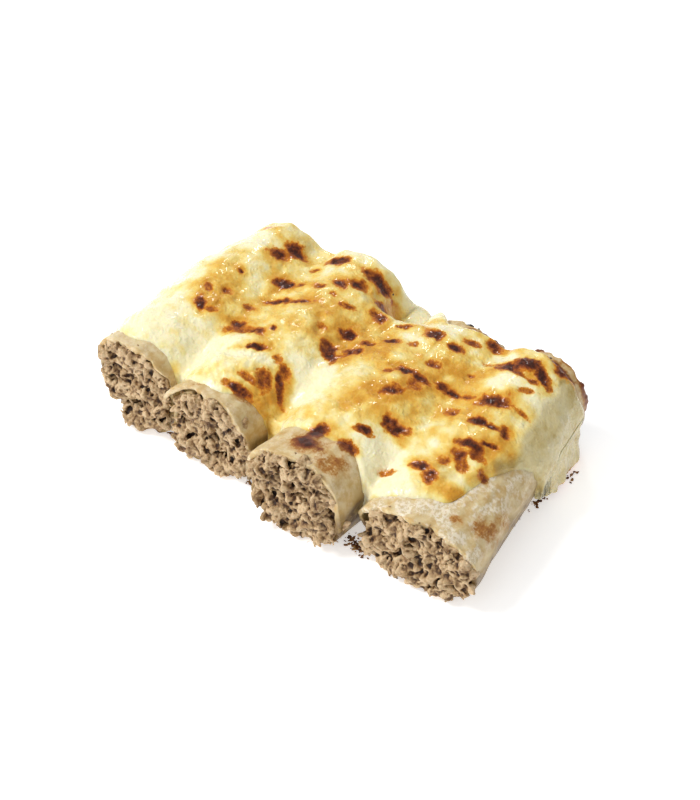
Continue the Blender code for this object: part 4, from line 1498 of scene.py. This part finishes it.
@dataclass
class Studio:
    """A softly glowing white table, soft light from the upper left, and the camera.

    Attributes:
        azimuth: How far the camera stands to the right of the front, in degrees.
        elevation: How far it looks down, in degrees.
        distance: How far it stands from what it looks at, in metres.
        lens: Its focal length in mm, on a sensor 36 mm wide.
        target: What it looks at, in mm.
        room: How bright the white room is.
        table_glow: How brightly the table glows.
    """

    azimuth: float = 35.8
    elevation: float = 43.5
    distance: float = 0.42
    lens: float = 60.8
    target: tuple[float, float, float] = (1.1, -2.1, 12.0)
    room: float = 0.48
    table_glow: float = 0.47

    def build(self) -> None:
        """Makes the floor, the lights, the surroundings and the camera."""
        bpy.ops.object.select_all(action="DESELECT")
        bpy.ops.mesh.primitive_plane_add(size=4)
        floor = bpy.context.object
        floor.name = "studio_floor"
        made, _, shader = new_material("lit white acrylic")
        shader.inputs["Base Color"].default_value = linear("#FAFAFA")
        shader.inputs["Roughness"].default_value = 0.9
        shader.inputs["Specular IOR Level"].default_value = 0.0
        shader.inputs["Emission Color"].default_value = (1, 1, 1, 1)
        shader.inputs["Emission Strength"].default_value = self.table_glow
        floor.data.materials.append(made)
        self.light("key", (-0.7, -0.44, 0.94), 0.46, 9.9)
        self.light("fill", (0.0, -0.9, 0.6), 0.8, 2.0)
        self.light("glint", (-0.42, 0.62, 0.7), 0.14, 1.1)
        world = bpy.data.worlds.new("soft white room")
        world.use_nodes = True
        world.node_tree.nodes["Background"].inputs["Color"].default_value = (1, 1, 1, 1)
        world.node_tree.nodes["Background"].inputs["Strength"].default_value = self.room
        bpy.context.scene.world = world
        bpy.context.scene.view_settings.view_transform = "Standard"
        self.camera()

    def light(self, name: str, place: tuple[float, float, float], size: float, watts: float) -> None:
        """Adds one soft box that points at the food.

        Args:
            name: The light's name.
            place: Where it hangs, in metres.
            size: How wide it is, in metres.
            watts: How strong it is.
        """
        bpy.ops.object.light_add(type="AREA", location=place)
        lamp = bpy.context.object
        lamp.name = name
        lamp.data.shape = "DISK"
        lamp.data.size = size
        lamp.data.energy = watts
        lamp.rotation_euler = Vector(place).to_track_quat("Z", "Y").to_euler()

    def camera(self) -> None:
        """Adds the camera."""
        azimuth, elevation = math.radians(self.azimuth), math.radians(self.elevation)
        back = Vector((math.sin(azimuth) * math.cos(elevation), -math.cos(azimuth) * math.cos(elevation),
                       math.sin(elevation)))
        bpy.ops.object.camera_add(location=Vector(self.target) * MM + back * self.distance)
        camera = bpy.context.object
        camera.rotation_euler = back.to_track_quat("Z", "Y").to_euler()
        camera.data.sensor_width = 36
        camera.data.lens = self.lens
        camera.data.clip_start = 0.01
        bpy.context.scene.camera = camera


# ---------------------------------------------------------------- putting it together


@dataclass(frozen=True)
class Job:
    """One piece to make.

    Attributes:
        name: What the piece is called. Not used.
        build: What models it.
        finish: What it is finished with.
        slot: Its place in the record's materials. Not used.
        nodes: The frame's nodes that it stands for.
    """

    name: str
    build: Callable[[], Piece]
    finish: type[Finish]
    slot: Slot
    nodes: tuple[str, ...] = ()


def jobs(rolls: tuple[Roll, ...]) -> list[Job]:
    """Lists every piece of the portion, in the order in which they are made."""
    made = []
    for roll in rolls:
        number = roll.number
        sheet = PastaSheet(roll, bare_length=30.0 if number == 4 else 8.0, dried=1.0 if number == 4 else 0.35)
        made.append(Job(f"pasta_sheet_{number}", sheet.build, BoiledPasta, Slot.PASTA, (f"pasta_{number}",)))
        filling = MinceFilling(roll)
        made.append(Job(f"mince_{number}", filling.build, CookedMince, Slot.MINCE, (f"filling_{number}",)))
    made.append(Job("gratin_blanket", Gratin(rolls).build, BakedSauce, Slot.SAUCE, ("gratin",)))
    made.append(Job("burnt_crumbs", BurntCrumbs().build, BurntCrust, Slot.SAUCE))
    return made


def carry(piece: Piece, job: Job, material: bpy.types.Material) -> None:
    """Dresses a piece and fixes it to the portion in place of its plain solids.

    Args:
        piece: The finished piece.
        job: What was asked for.
        material: Its material.
    """
    piece.data.materials.clear()
    piece.data.materials.append(material)
    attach(piece, "root")
    if job.nodes:
        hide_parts(*job.nodes)
    LOG.info("%s: %d faces", piece.name, len(piece.data.polygons))


def main() -> None:
    """Builds every piece of the portion, then the studio round it."""
    logging.basicConfig(level=logging.INFO, format="%(message)s")
    rolls = tuple(Roll.measured(number, habit) for number, habit in enumerate(HABITS, 1))
    materials: dict[type[Finish], bpy.types.Material] = {}
    for job in jobs(rolls):
        if job.finish not in materials:
            materials[job.finish] = job.finish().material()
        carry(job.build(), job, materials[job.finish])
    Studio().build()


if __name__ == "__main__":
    main()
